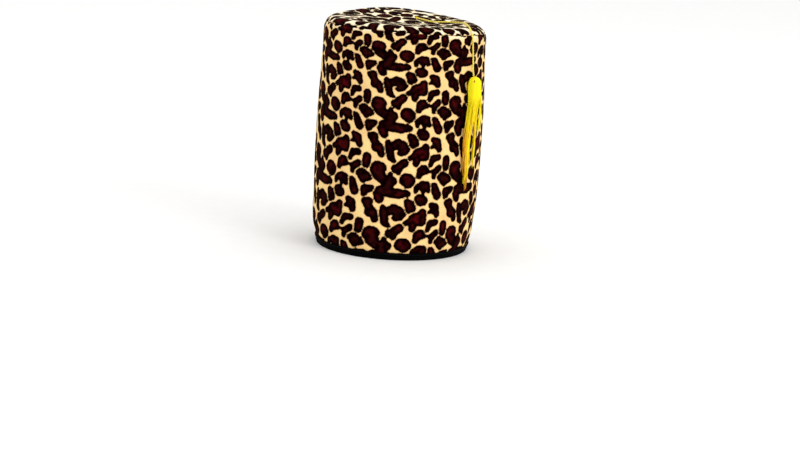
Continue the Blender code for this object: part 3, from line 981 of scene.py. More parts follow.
def knitted_back():
    """Fine warp-knit backing: matte and off white, with columns of loops."""
    made, tree, shader = new_material("knitted_backing", Roughness=0.95, IOR=1.5, Sheen_Weight=0.1)
    ink = add(tree, "ShaderNodeAttribute", attribute_name="ink").outputs["Fac"]
    ghost = add(
        tree,
        "ShaderNodeMapRange",
        {0: ink, 1: 1.5, 2: -1.5, 3: 0.0, 4: 0.35},
        interpolation_type="SMOOTHSTEP",
    )
    colour = add(tree, "ShaderNodeMix", {MIX_FACTOR: ghost.outputs[0]}, data_type="RGBA")
    colour.inputs[MIX_A].default_value = linear("#d9cdb6")
    colour.inputs[MIX_B].default_value = linear("#6e5140")
    around = add(tree, "ShaderNodeAttribute", attribute_name="around").outputs["Fac"]
    rise = add(tree, "ShaderNodeSeparateXYZ", {0: add(tree, "ShaderNodeTexCoord").outputs["Object"]})
    place = add(tree, "ShaderNodeCombineXYZ", {0: around, 1: rise.outputs[2]})
    ribs = add(
        tree,
        "ShaderNodeTexWave",
        {"Vector": place.outputs[0], "Scale": KNIT_SCALE, "Distortion": 0.6},
    )
    bump = add(
        tree,
        "ShaderNodeBump",
        {"Height": ribs.outputs["Fac"], "Strength": 0.4, "Distance": 0.2 * MM},
    )
    tree.links.new(colour.outputs[MIX_COLOUR], shader.inputs["Base Color"])
    tree.links.new(bump.outputs[0], shader.inputs["Normal"])
    return made


backing = knitted_back()
print("materials so far:", sorted(material.name for material in bpy.data.materials))

# %% [markdown]
# ## The side panel
# One closed skin goes up the outside of the wall, rolls over the corner, turns down into the seam,
# and comes back along the inside to the rim. Padded cloth is never quite flat, so the wall has waves
# up to 0.6 mm deep, always inwards, which keeps it clear of the tassel. Close to the seam the cloth
# puckers a little, where the thread pulls it. The panel's own join is a vertical seam at the back, a
# shallow groove where the print doesn't match.

# %% Side panel
AROUND = 420
WALL_ROWS = 166
CORNER_ROWS = 12
EDGE_STEPS = 4
INNER_ROWS = 24
INNER_CORNER_ROWS = 5
EDGE_ROUND = 0.8 * MM
WAVE_DEPTH = 0.6 * MM
WAVES_BEGIN = (9.0 * MM, 30.0 * MM)
WAVES_END = (215.0 * MM, 238.0 * MM)
WAVE_COLUMNS = ("times_round", "turns_per_metre", "phase", "share")
WAVES = (
    (3, 1.9, 0.4, 0.30),
    (5, -2.7, 2.1, 0.25),
    (8, 3.8, 4.4, 0.20),
    (13, -5.1, 1.2, 0.15),
    (17, 2.4, 5.3, 0.10),
)
BACK_SEAM_TURN = math.radians(90.0)
BACK_SEAM_HALF_WIDTH = 1.4 * MM
BACK_SEAM_DEPTH = 0.9 * MM
PUCKER = 0.22 * MM
PUCKERS_ROUND = 74
PUCKER_REACH = 4.0 * MM
PUCKER_AT_EDGE = 0.5


def wall_waves(turn, height):
    """How far the wall sinks in: a sum of slow waves from 0 to WAVE_DEPTH, fading at rim and top."""
    total = 0.0
    for wave in named_rows(WAVES, WAVE_COLUMNS):
        climb = FULL_TURN * wave["turns_per_metre"] * height
        total = total + wave["share"] * np.cos(wave["times_round"] * turn + climb + wave["phase"])
    fade = smooth_step(height, *WAVES_BEGIN) * (1 - smooth_step(height, *WAVES_END))
    return WAVE_DEPTH * (0.5 + 0.5 * total) * fade


def back_seam(turn, height):
    """The groove of the join at the back: a narrow bell in the distance from it."""
    distance = (turn - BACK_SEAM_TURN) * wall_radius(turn, height)
    return BACK_SEAM_DEPTH * np.exp(-((distance / BACK_SEAM_HALF_WIDTH) ** 2))


def puckers(turn, from_seam):
    """Small gathers beside the top seam, uneven in size, gone a few mm away from it."""
    uneven = 0.6 + 0.4 * np.cos(11 * turn + 0.7) * np.cos(5 * turn + 2.0)
    ripple = 0.5 + 0.5 * np.cos(PUCKERS_ROUND * turn + 1.5 * np.sin(9 * turn))
    return PUCKER * uneven * ripple * np.exp(-from_seam / PUCKER_REACH)


def rounded_edge(thickness):
    """The turned edge of a panel: depth into the cloth, and distance back from its very edge. Two
    quarter rounds with a straight between them."""
    angle = np.linspace(0, math.pi / 2, EDGE_STEPS)
    depth = EDGE_ROUND * (1 - np.cos(angle))
    back = EDGE_ROUND * (1 - np.sin(angle))
    return np.append(depth, thickness - depth[::-1]), np.append(back, back[::-1])


def side_panel_rows():
    """The panel's points, with the height along the cloth that the print uses, row by row."""
    turn = np.linspace(0, FULL_TURN, AROUND, endpoint=False) + BACK_SEAM_TURN
    bent_turn = (turn - BACK_SEAM_TURN + math.pi) % FULL_TURN - math.pi + BACK_SEAM_TURN
    radius = corner_radius(turn)
    foot = edge_height(turn) - radius
    lowest = TAPE + 2 * FIT_GAP
    height = lowest + (foot - lowest) * np.linspace(0, 1, WALL_ROWS)[:, None]
    sunk = wall_waves(turn, height) + back_seam(bent_turn, height)
    wall = polar(turn, wall_radius(turn, height) - sunk, height)

    last = SEAM_LIFT - SEAM_GAP / 2 / radius
    lift = (last - EDGE_ROUND / radius) * np.linspace(0, 1, CORNER_ROWS + 1)[1:, None]
    from_seam = (last - lift) * radius
    depth = puckers(turn, from_seam) + back_seam(bent_turn, foot)
    corner = corner_point(turn, lift, depth)

    edge_depth, edge_back = rounded_edge(CLOTH)
    edge_lift = last - edge_back[1:, None] / radius
    edge = corner_point(turn, edge_lift, edge_depth[1:, None] + depth[-1] * PUCKER_AT_EDGE)

    inner_lift = edge_lift[-1] * np.linspace(1, 0, INNER_CORNER_ROWS + 1)[1:, None]
    inner_corner = corner_point(turn, inner_lift, CLOTH + 0 * inner_lift)
    inner_height = foot + (lowest - foot) * np.linspace(0, 1, INNER_ROWS)[1:, None]
    inner = polar(turn, wall_radius(turn, inner_height) - CLOTH, inner_height)

    rows = np.concatenate([wall, corner, edge, inner_corner, inner])
    climbs = [height, foot + lift * radius, foot + edge_lift * radius]
    climbs += [foot + inner_lift * radius, inner_height + 0 * turn]
    return turn, rows, np.concatenate(climbs)


def build_side_panel():
    """The side panel as one piece, pile outside and knit inside."""
    turn, rows, climb = side_panel_rows()
    u, v = print_on_wall(turn[None] + 0 * climb, climb)
    outside_rows = WALL_ROWS + CORNER_ROWS + EDGE_STEPS
    slots = np.repeat(np.arange(len(rows)) >= outside_rows, AROUND)
    return mesh_piece(
        "crown_side_velour",
        rows,
        [grid_faces(len(rows), AROUND, closed_rows=True)],
        [velour, backing],
        values={
            "ink": print_distance(u, v),
            "heart": heart_strength(u, v),
            "around": turn[None] * PRINT_RADIUS * MM + 0 * climb,
        },
        slots=slots,
    )


side = build_side_panel()
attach(side, "root")
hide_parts("crown_side")

# %% [markdown]
# ## The top
# The top is a round panel of the same cloth, laid with the print turned its own way, because nobody
# matches a pattern across that seam. Seen almost edge on, a fold one millimetre high hides what is
# behind it, so its few soft folds matter. Each fold is a straight ridge or hollow with a bell-shaped
# section that fades at both ends. At that angle inked tufts also stand in front of bare ones, which
# makes the spots look fuller, so the ink creeps a little further here than on the side.

# %% Top panel
TOP_AROUND = 380
TOP_ROWS = 58
TOP_CORNER_ROWS = 10
TOP_INNER_ROWS = 12
TOP_PRINT_TURN = math.radians(272.0)
TOP_PRINT_SHIFT = (85.0, 59.0)
TOP_CREEP = 1.3
# Shares of the way out from the centre: where the fans of triangles end, inside and outside, and from
# where the folds fade out.
INNER_FAN, OUTER_FAN = 0.06, 0.012
FOLDS_END = 0.9
TOP_PUCKER_TURN = 0.04
FOLD_COLUMNS = ("x1", "y1", "x2", "y2", "half_width", "height")
FOLDS = (
    (-62.0, -42.0, -8.0, -60.0, 5.0, 0.9),
    (-70.0, -18.0, -20.0, -40.0, 5.5, 0.7),
    (-30.0, -64.0, 34.0, -66.0, 4.5, 0.5),
    (-50.0, -30.0, 0.0, -50.0, 4.5, -0.7),
    (4.0, -30.0, 52.0, -28.0, 5.0, 0.7),
    (-60.0, 8.0, -18.0, -12.0, 6.0, 0.6),
    (-30.0, 40.0, 20.0, 50.0, 7.0, 0.6),
)


def fold_height(x, y):
    """The sum of the folds: height x bell of the distance from the fold's line, faded at its ends."""
    total = np.zeros_like(x)
    for fold in named_rows(np.array(FOLDS) * MM, FOLD_COLUMNS):
        run, rise = fold["x2"] - fold["x1"], fold["y2"] - fold["y1"]
        from_x, from_y = x - fold["x1"], y - fold["y1"]
        length = math.hypot(run, rise)
        along = (from_x * run + from_y * rise) / length**2
        beside = (from_x * rise - from_y * run) / length
        ends_fade = np.sin(math.pi * np.clip(along, 0, 1)) ** 2
        total += fold["height"] * ends_fade * np.exp(-((beside / fold["half_width"]) ** 2))
    return total


def top_point(turn, share, depth):
    """A point of the top: share is 1 at the edge of the flat and 0 at the centre."""
    reach = share * flat_reach(turn)
    fall = share**2 * (3 - 2 * share)
    height = HEIGHT - DISH - (HEIGHT - DISH - edge_height(turn)) * fall
    x, y = reach * np.cos(turn), reach * np.sin(turn)
    fade = np.sin(math.pi * np.clip(x / TROUGH_REACH, 0, 1)) ** 2
    hollow = np.exp(-(((y - TROUGH_SIDE) / TROUGH_HALF_WIDTH) ** 2))
    folds = fold_height(x, y) * (1 - smooth_step(share, FOLDS_END, 1.0))
    return polar(turn, reach, height - TROUGH_DEPTH * fade * hollow + folds - depth)


def top_panel_rows():
    """Points from the inner centre out to the seam, over the edge and back to the outer centre, with
    the distance from the axis along the cloth."""
    turn = np.linspace(0, FULL_TURN, TOP_AROUND, endpoint=False)
    radius = corner_radius(turn)
    flat = flat_reach(turn)
    first = SEAM_LIFT + SEAM_GAP / 2 / radius
    edge_depth, edge_back = rounded_edge(TOP_CLOTH)
    edge_depth, edge_back = edge_depth[::-1], edge_back[::-1]

    inner_share = np.linspace(INNER_FAN, 1, TOP_INNER_ROWS)[:, None]
    inner = top_point(turn, inner_share, TOP_CLOTH)
    edge_lift = first + edge_back[:, None] / radius
    edge = corner_point(turn, edge_lift, edge_depth[:, None] + 0 * edge_lift)
    start = edge_lift[-1]
    lift = start + (math.pi / 2 - start) * np.linspace(0, 1, TOP_CORNER_ROWS + 1)[1:, None]
    depth = puckers(turn + TOP_PUCKER_TURN, (lift - first) * radius)
    corner = corner_point(turn, lift, depth)
    share = np.linspace(1, OUTER_FAN, TOP_ROWS)[1:, None]
    outer = top_point(turn, share, 0.0)

    rows = np.concatenate([inner, edge, corner, outer])
    out = [inner_share * flat, flat + (math.pi / 2 - edge_lift) * radius]
    out += [flat + (math.pi / 2 - lift) * radius, share * flat]
    return turn, rows, np.concatenate(out)


def build_top_panel():
    """The top as one piece, pile above and knit below, with a fan at each centre."""
    turn, rows, out = top_panel_rows()
    count = len(rows)
    centres = np.array([[0, 0, rows[0, :, 2].mean()], [0, 0, rows[-1, :, 2].mean()]])
    x, y = out * np.cos(turn) / MM, out * np.sin(turn) / MM
    cos, sin = math.cos(TOP_PRINT_TURN), math.sin(TOP_PRINT_TURN)
    u = np.append((x * cos - y * sin).ravel(), [0.0, 0.0]) + TOP_PRINT_SHIFT[0]
    v = np.append((x * sin + y * cos).ravel(), [0.0, 0.0]) + TOP_PRINT_SHIFT[1]
    fans = end_caps(count, TOP_AROUND)
    inner_faces = np.repeat(np.arange(count - 1) < TOP_INNER_ROWS + EDGE_STEPS - 1, TOP_AROUND)
    fan_slots = np.repeat([1, 0], TOP_AROUND)
    return mesh_piece(
        "crown_top_velour",
        np.concatenate([rows.reshape(-1, 3), centres]),
        [grid_faces(count, TOP_AROUND), fans],
        [velour, backing],
        values={
            "ink": print_distance(u, v, TOP_CREEP),
            "heart": heart_strength(u, v),
            "around": u * MM,
        },
        slots=np.concatenate([inner_faces, fan_slots]),
    )


top = build_top_panel()
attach(top, "root")
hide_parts("crown_top")

# %% [markdown]
# ## The rim binding
# A strip of black tape is folded round the raw edge of the wall and stitched through. Carrying its
# U-shaped section round the rim gives the form. Sewn tape ripples a little between stitches, and its
# upper edge never runs dead straight, so both get small slow waves.

# %% Rim binding
FOLD_OUTSIDE = 8.2 * MM
FOLD_INSIDE = 9.2 * MM
INNER_FIT_GAP = 0.5 * MM
TAPE_ROUND = 0.55 * MM
TAPE_AROUND = 560
TAPE_RIPPLE = 0.14 * MM
TAPE_RIPPLES_ROUND = 96
TAPE_EDGE_WAVE = 0.3 * MM
TAPE_WAVE_COLUMNS = ("times_round", "phase", "share")
TAPE_WAVES = ((7, 1.0, 0.5), (19, 0.0, 0.3), (31, 2.0, 0.2))
TAPE_WAVES_BEGIN = 2.0 * MM


def tape_section():
    """The U of the tape as distances out from the wall and heights, in the order that faces outwards:
    up the outside, over its edge, down to the fold, up the inner leg and down its far side."""
    outer = FIT_GAP + TAPE
    inner = -(CLOTH + INNER_FIT_GAP)
    back = inner - TAPE
    quarter = np.linspace(0, math.pi / 2, 4)
    bend = 2 * TAPE_ROUND
    up_outside = np.linspace(bend, FOLD_OUTSIDE - TAPE_ROUND, 8)
    down_outside = np.linspace(FOLD_OUTSIDE - TAPE_ROUND, TAPE, 4)
    up_inside = np.linspace(TAPE, FOLD_INSIDE - TAPE_ROUND, 4)
    down_inside = np.linspace(FOLD_INSIDE - TAPE_ROUND, bend, 6)
    half = np.linspace(0, math.pi, 7)[1:-1]
    parts = [
        (np.full_like(up_outside, outer), up_outside),
        (
            outer - TAPE / 2 + TAPE / 2 * np.cos(half),
            FOLD_OUTSIDE - TAPE_ROUND + TAPE_ROUND * np.sin(half),
        ),
        (np.full_like(down_outside, FIT_GAP), down_outside),
        (np.full_like(up_inside, inner), up_inside),
        (
            inner - TAPE / 2 + TAPE / 2 * np.cos(half),
            FOLD_INSIDE - TAPE_ROUND + TAPE_ROUND * np.sin(half),
        ),
        (np.full_like(down_inside, back), down_inside),
        (back + bend - bend * np.cos(quarter[1:]), bend - bend * np.sin(quarter[1:])),
        (outer - bend + bend * np.sin(quarter[:-1]), bend - bend * np.cos(quarter[:-1])),
    ]
    outs, heights = zip(*parts)
    return np.concatenate(outs), np.concatenate(heights)


def build_binding():
    """The tape, section by section round the rim. Its edge rises and falls by a sum of three waves."""
    out, height = tape_section()
    turn = np.linspace(0, FULL_TURN, TAPE_AROUND, endpoint=False)
    level = smooth_step(height, TAPE_WAVES_BEGIN, FOLD_OUTSIDE)[:, None]
    edge_wave = np.zeros_like(turn)
    for wave in named_rows(TAPE_WAVES, TAPE_WAVE_COLUMNS):
        edge_wave += wave["share"] * np.cos(wave["times_round"] * turn + wave["phase"])
    ripple = np.cos(TAPE_RIPPLES_ROUND * turn + 2 * np.sin(5 * turn))
    outside = (out > -CLOTH / 2)[:, None]
    lifted = height[:, None] + TAPE_EDGE_WAVE * edge_wave * level
    pushed = out[:, None] + TAPE_RIPPLE * ripple * level * np.where(outside, 1.0, -1.0)
    rows = polar(turn, wall_radius(turn, height[:, None]) + pushed, lifted)
    girth = turn[None] * PRINT_RADIUS * MM + 0 * lifted
    strip = np.concatenate([[0], np.cumsum(np.hypot(np.diff(out), np.diff(height)))])
    return mesh_piece(
        "rim_tape",
        rows,
        [grid_faces(len(rows), TAPE_AROUND, closed_rows=True)],
        [black_tape()],
        values={"around": girth, "strip": strip[:, None] + 0 * lifted},
    )


# %% [markdown]
# The tape is a woven cotton bias strip, so its threads cross the rim at an angle. Black dye leaves it
# very dark, and its colour is painted a shade lighter where the threads cross, a painted highlight where
# light rakes over them. They are about 0.4 mm apart, and drawn at 0.8 mm so that they show.


# %% Tape finish
WEAVE_SCALE = 390.0


def black_tape():
    """Plain-woven cotton bias tape, dyed black: matte, with a fine slanting weave."""
    made, tree, shader = new_material(
        "black_cotton_tape", Roughness=0.9, IOR=1.5, Specular_IOR_Level=0.03
    )
    around = add(tree, "ShaderNodeAttribute", attribute_name="around").outputs["Fac"]
    strip = add(tree, "ShaderNodeAttribute", attribute_name="strip").outputs["Fac"]
    place = add(tree, "ShaderNodeCombineXYZ", {0: around, 1: strip})
    turned = add(
        tree,
        "ShaderNodeMapping",
        {"Vector": place.outputs[0], "Rotation": (0.0, 0.0, math.radians(45.0))},
    )
    warp = add(
        tree,
        "ShaderNodeTexWave",
        {"Vector": turned.outputs[0], "Scale": WEAVE_SCALE, "Distortion": 0.4},
    )
    weft = add(
        tree,
        "ShaderNodeTexWave",
        {"Vector": turned.outputs[0], "Scale": WEAVE_SCALE, "Distortion": 0.4},
        bands_direction="Y",
    )
    weave = add(
        tree,
        "ShaderNodeMath",
        {0: warp.outputs["Fac"], 1: weft.outputs["Fac"]},
        operation="MULTIPLY",
    )
    # Painted highlight: a shade lighter where the threads of the weave cross.
    colour = add(tree, "ShaderNodeMix", {MIX_FACTOR: weave.outputs[0]}, data_type="RGBA")
    colour.inputs[MIX_A].default_value = linear("#020202")
    colour.inputs[MIX_B].default_value = linear("#08080a")
    bump = add(
        tree,
        "ShaderNodeBump",
        {"Height": weave.outputs[0], "Strength": 0.5, "Distance": 0.15 * MM},
    )
    tree.links.new(colour.outputs[MIX_COLOUR], shader.inputs["Base Color"])
    tree.links.new(bump.outputs[0], shader.inputs["Normal"])
    return made


binding = build_binding()
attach(binding, "root")
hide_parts("rim_binding")

# %% [markdown]
# ## Stitches
# One row of machine stitches holds the tape, outside and inside. A stitch is a short thread that dives
# into the cloth at both ends, so each is a small tube whose line is an arc: it stands out in the
# middle and sinks at its ends. All of them are worked out at once, as one array.

# %% Rim stitches
STITCH_PITCH = 3.0 * MM
STITCH_LENGTH = 2.3 * MM
STITCH_RADIUS = 0.2 * MM
STITCH_STATIONS = 6
STITCH_SIDES = 6
STITCH_BELOW_EDGE = 1.7 * MM
STITCH_ARC, STITCH_SUNK = 0.55, 0.25
SPUN_GRAIN = 4000.0


def stitch_row(height, out, sign):
    """Stitches round the rim at a height. Each stands out from the tape by a half sine of its length,
    less the share of its radius that is sunk, and thins towards its ends."""
    count = round(FULL_TURN * PRINT_RADIUS * MM / STITCH_PITCH)
    middle = np.arange(count)[:, None, None] * FULL_TURN / count
    share = np.linspace(0, 1, STITCH_STATIONS)[None, :, None]
    side = np.linspace(0, FULL_TURN, STITCH_SIDES, endpoint=False)[None, None, :]
    thick = STITCH_RADIUS * np.sqrt(np.maximum(1 - (2 * share - 1) ** 4, 0.05))
    turn = middle + (share - 0.5) * STITCH_LENGTH / (PRINT_RADIUS * MM)
    stand = out + sign * (STITCH_ARC * np.sin(math.pi * share) - STITCH_SUNK) * STITCH_RADIUS
    level = height + thick * np.cos(side) * sign
    return polar(turn, wall_radius(turn, height) + stand + thick * np.sin(side), level + 0 * turn)


def stitch_thread():
    """Black spun polyester thread: a little glossier than the tape, with a grain of 0.25 mm."""
    made, tree, shader = new_material(
        "black_sewing_thread", Roughness=0.6, IOR=1.5, Specular_IOR_Level=0.15
    )
    place = add(tree, "ShaderNodeTexCoord").outputs["Object"]
    grain = add(tree, "ShaderNodeTexNoise", {"Vector": place, "Scale": SPUN_GRAIN})
    colour = add(tree, "ShaderNodeMix", {MIX_FACTOR: grain.outputs[0]}, data_type="RGBA")
    colour.inputs[MIX_A].default_value = linear("#050505")
    colour.inputs[MIX_B].default_value = linear("#111113")
    tree.links.new(colour.outputs[MIX_COLOUR], shader.inputs["Base Color"])
    return made


outer_stitches = stitch_row(FOLD_OUTSIDE - STITCH_BELOW_EDGE, FIT_GAP + TAPE, 1.0)
inner_stitches = stitch_row(
    FOLD_INSIDE - STITCH_BELOW_EDGE, -(CLOTH + INNER_FIT_GAP + TAPE), -1.0
)
all_stitches = np.concatenate([outer_stitches, inner_stitches])
stitches = mesh_piece(
    "rim_stitches",
    all_stitches,
    [many_grids(len(all_stitches), STITCH_STATIONS, STITCH_SIDES)],
    [stitch_thread()],
)
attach(stitches, "root")

# %% [markdown]
# ## The tassel's shape
# A tassel is a hank of threads folded over the cord's end and bound round the neck. Below the neck
# the threads part into locks that lie against the wall and swing apart. One short table gives the
# half widths of the head and of the bundle under it. The other gives the eight locks: how far each
# lies to the side and out from the wall at the neck, at its middle and at its end, how low it hangs,
# and how wide and deep it is. A last row says how golden each lock turns towards its end.

# %% Tassel measurements
TASSEL_TURN = math.radians(65.2 - 90.0)
BUNDLE_COLUMNS = ("height", "half_across", "half_out")
BUNDLE = (
    (206.2, 0.8, 0.8),
    (205.6, 2.7, 2.7),
    (204.4, 4.5, 4.5),
    (202.6, 5.8, 5.8),
    (199.6, 6.8, 6.8),
    (195.0, 7.3, 7.3),
    (189.0, 7.4, 7.4),
    (180.0, 7.6, 7.4),
    (168.0, 8.0, 6.8),
    (155.0, 7.6, 5.2),
    (145.0, 6.6, 3.8),
    (136.0, 4.6, 2.6),
    (130.0, 2.4, 1.6),
)
LOCK_START = 192.0 * MM
LOCK_MIDDLE = 128.0 * MM
LOCK_COLUMNS = (
    "neck", "middle", "end", "neck_out", "middle_out", "end_out", "end_height", "width", "depth",
)
LOCKS = (
    (-3.4, -4.8, -0.6, 8.5, 4.6, 2.7, 88.0, 5.4, 4.6),
    (-5.6, -3.6, 0.6, 11.2, 5.2, 3.2, 94.0, 5.2, 4.6),
    (0.0, -2.0, 1.2, 7.0, 4.0, 2.4, 78.0, 3.4, 3.0),
    (-3.0, -6.8, -4.4, 5.0, 3.6, 2.4, 94.0, 4.4, 3.6),
    (1.5, 6.6, 12.4, 11.5, 5.5, 2.4, 106.0, 3.2, 3.0),
    (5.5, 7.2, 9.1, 11.5, 11.0, 8.2, 143.0, 3.0, 2.8),
    (-3.0, -4.2, -3.4, 12.2, 11.2, 9.4, 155.0, 5.0, 3.4),
    (3.0, 2.4, 2.0, 6.0, 5.4, 4.6, 158.0, 5.6, 4.6),
)
LOCK_GOLD = (0.1, 0.0, 0.7, 0.7, 0.1, 0.0, 0.1, 0.2)
SHORT_LOCK_BEND = 5.0 * MM
lock_rows = named_rows(np.array(LOCKS) * MM, LOCK_COLUMNS)
bundle_height, bundle_across, bundle_out = (
    column(BUNDLE, BUNDLE_COLUMNS, name)[::-1] for name in BUNDLE_COLUMNS
)
HEAD_OUT = FIT_GAP + bundle_out.max()


def on_wall(across, height, out):
    """Points beside the tassel's middle line: across along the wall, at a height, and out from it."""
    turn = TASSEL_TURN + across / wall_radius(TASSEL_TURN, height)
    return polar(turn, wall_radius(turn, height) + out, height)


lowest_lock = column(LOCKS, LOCK_COLUMNS, "end_height").min()
print(f"tassel: {(bundle_height.max() - lowest_lock) / MM:.0f} mm long, {len(LOCKS)} locks")

# %% [markdown]
# ## The tassel's threads
# Every thread is one tube from the top of the head to its own loose end. On the head it follows the
# round form. Below the neck it goes with a clump of others inside its lock. Clumps draw together
# towards their ends, as damp or static threads do, which opens the dark gaps between them. A few
# slow sine waves with random phases keep any two threads apart. A plain body at the heart of each
# lock stands for its inner threads, and near the top of the head the threads part round a small eye.
# The random numbers are seeded, so that the tassel is the same each time.

# %% Tassel threads
THREADS = 620
CLUMPS = 7
THREAD_SIDES = 4
THREAD_RADIUS = 0.27 * MM
HEAD_STATIONS = 12
SKIRT_STATIONS = 15
# Shares of a lock's half width and depth: how far out its clumps lie, how far out a thread lies in its
# clump and how much of that is gone at the end, and how the lock starts narrow and swells below.
CLUMP_SPREAD, OWN_SPREAD, DRAWN_IN = 0.62, 0.62, 0.45
AT_NECK, SWELL, SWELL_SOONER = 0.75, 0.35, 1.15
# How much higher or lower than its lock's end a thread ends, in mm: the range for its clump, and the
# averages by which it is shorter or longer by itself.
CLUMP_ENDS = (-3.0, 9.0)
OWN_SHORTER, OWN_LONGER = 3.0, 1.6
# The length and size of each slow wave along a thread, and its share outwards from the wall.
THREAD_WAVES = ((31.0 * MM, 0.5 * MM), (58.0 * MM, 0.9 * MM))
WAVE_OUT_SHARE = 0.6
# On the head: how far a thread strays round it, in radians, how deep its layers go, as shares of the
# half widths, and the height below which a thread follows its lock alone.
NECK_SCATTER = 0.6
LAYER, LAYER_DEPTH = 0.98, 0.1
LOOSE_BELOW = 166.0 * MM
TIP_START, TIP_TAPER = 0.93, 0.65
# The eye: its place, how far it reaches round and up, and how far it pushes the threads aside.
EYE_TURN, EYE_HEIGHT = math.radians(145.0), 201.5 * MM
EYE_SPREAD, EYE_SPREAD_UP, EYE_PUSH = 1.3 * MM, 1.04 * MM, 1.5 * MM
# Tones: what a clump adds at random, and what a thread adds, which is painted shade on the few threads
# that lie deepest, between which shares of a lock its gold sets in, and how deep its heart is, plain and
# golden.
CLUMP_TONE, OWN_TONE_AND_SHADE = 0.12, 0.75
GOLD_ONSET = (0.3, 0.6)
HEART_TONE, HEART_GOLD = 0.42, 0.4
# How far down a heart is, and its share of the lock's half width and depth there.
HEART_SWELL = ((0.0, 0.45), (0.3, 0.6), (0.45, 0.62), (0.8, 0.45), (0.97, 0.2), (1.0, 0.03))
HEART_STATIONS = 18
HEART_SIDES = 12
rng = np.random.default_rng(11)


def deal_threads():
    """Which lock and clump each thread is in, its place in the clump, and where it ends."""
    size = column(LOCKS, LOCK_COLUMNS, "width") * column(LOCKS, LOCK_COLUMNS, "depth")
    lock = np.sort(rng.choice(len(LOCKS), THREADS, p=size / size.sum()))
    clump = rng.integers(0, CLUMPS, THREADS)
    reach = np.sqrt(rng.uniform(0, 1, (len(LOCKS), CLUMPS)))
    turn = rng.uniform(0, FULL_TURN, (len(LOCKS), CLUMPS))
    clump_place = np.stack([reach * np.cos(turn), reach * np.sin(turn)], axis=-1) * CLUMP_SPREAD
    own_reach, own_turn = np.sqrt(rng.uniform(0, 1, THREADS)), rng.uniform(0, FULL_TURN, THREADS)
    own_place = np.stack([own_reach * np.cos(own_turn), own_reach * np.sin(own_turn)], axis=-1)
    clump_end = rng.uniform(*CLUMP_ENDS, (len(LOCKS), CLUMPS)) * MM
    own_end = rng.exponential(OWN_SHORTER, THREADS) * MM - rng.exponential(OWN_LONGER, THREADS) * MM
    return {
        "lock": lock,
        "clump_place": clump_place[lock, clump],
        "own_place": own_place,
        "end": column(LOCKS, LOCK_COLUMNS, "end_height")[lock] + clump_end[lock, clump] + own_end,
        "tone": rng.uniform(0, 1, (len(LOCKS), CLUMPS))[lock, clump],
        "own_tone_and_shade": rng.uniform(0, 1, THREADS),
    }


def lock_middle_line(lock, height):
    """Across and out of a lock's middle at each height: a smooth curve through neck, middle and end.
    A short lock has its middle a little under halfway."""
    halfway = (lock["end_height"] + LOCK_START) / 2
    middle = min(max(LOCK_MIDDLE, halfway - SHORT_LOCK_BEND), LOCK_START)
    knots = (lock["end_height"], middle, LOCK_START)
    across = smooth_between(height, knots, (lock["end"], lock["middle"], lock["neck"]))
    out = smooth_between(height, knots, (lock["end_out"], lock["middle_out"], lock["neck_out"]))
    return across, out


def parted_at_eye(angle, height):
    """Angles round the head, pushed away from the eye, the small hole that the cord's loop leaves."""
    beside = ((angle - EYE_TURN + math.pi) % FULL_TURN - math.pi) * bundle_out.max()
    near = np.exp(-((beside / EYE_SPREAD) ** 2) - ((height - EYE_HEIGHT) / EYE_SPREAD_UP) ** 2)
    return angle + np.sign(beside) * near * EYE_PUSH / bundle_out.max()


def thread_lines(threads):
    """Across, height and out for every station of every thread. Its place in its lock is scaled by the
    lock's width and depth: narrow at the neck, swelling by a half sine below it."""
    head = np.linspace(bundle_height[-1], LOCK_START, HEAD_STATIONS)[None] + np.zeros((THREADS, 1))
    fall = np.linspace(0, 1, SKIRT_STATIONS + 1)[None, 1:] ** 0.9
    skirt = LOCK_START + (threads["end"][:, None] - LOCK_START) * fall
    height = np.concatenate([head, skirt], axis=1)
    down = np.clip((LOCK_START - height) / (LOCK_START - threads["end"][:, None]), 0, 1)

    across, out = np.zeros_like(height), np.zeros_like(height)
    width = column(LOCKS, LOCK_COLUMNS, "width")[threads["lock"]] / 2
    depth = column(LOCKS, LOCK_COLUMNS, "depth")[threads["lock"]] / 2
    for number, lock in enumerate(lock_rows):
        mine = threads["lock"] == number
        across[mine], out[mine] = lock_middle_line(lock, height[mine])
    swell = AT_NECK + SWELL * np.sin(math.pi * np.clip(down * SWELL_SOONER, 0, 1))
    tight = OWN_SPREAD * (1 - DRAWN_IN * down)
    place = threads["clump_place"][:, None] + threads["own_place"][:, None] * tight[..., None]
    across += width[:, None] * swell * place[..., 0]
    out += depth[:, None] * swell * place[..., 1]

    for length, size in THREAD_WAVES:
        phase = rng.uniform(0, FULL_TURN, (2, THREADS, 1))
        across += size * down * np.sin(FULL_TURN * height / length + phase[0])
        out += WAVE_OUT_SHARE * size * down * np.sin(FULL_TURN * height / length + phase[1])

    neck_out = out[:, HEAD_STATIONS - 1] - HEAD_OUT
    scatter = rng.uniform(-NECK_SCATTER, NECK_SCATTER, THREADS)
    angle = np.arctan2(neck_out, across[:, HEAD_STATIONS - 1]) + scatter
    angle = parted_at_eye(angle[:, None], height)
    layer = LAYER - LAYER_DEPTH * threads["own_tone_and_shade"][:, None]
    half_across = smooth_between(height, bundle_height, bundle_across) * layer
    half_out = smooth_between(height, bundle_height, bundle_out) * layer
    head_across = half_across * np.cos(angle)
    head_out = HEAD_OUT + half_out * np.sin(angle)
    loose = 1 - smooth_step(height, LOOSE_BELOW, LOCK_START)
    across = head_across + (across - head_across) * loose
    out = head_out + (out - head_out) * loose
    return across, height, np.maximum(out, FIT_GAP + THREAD_RADIUS), down


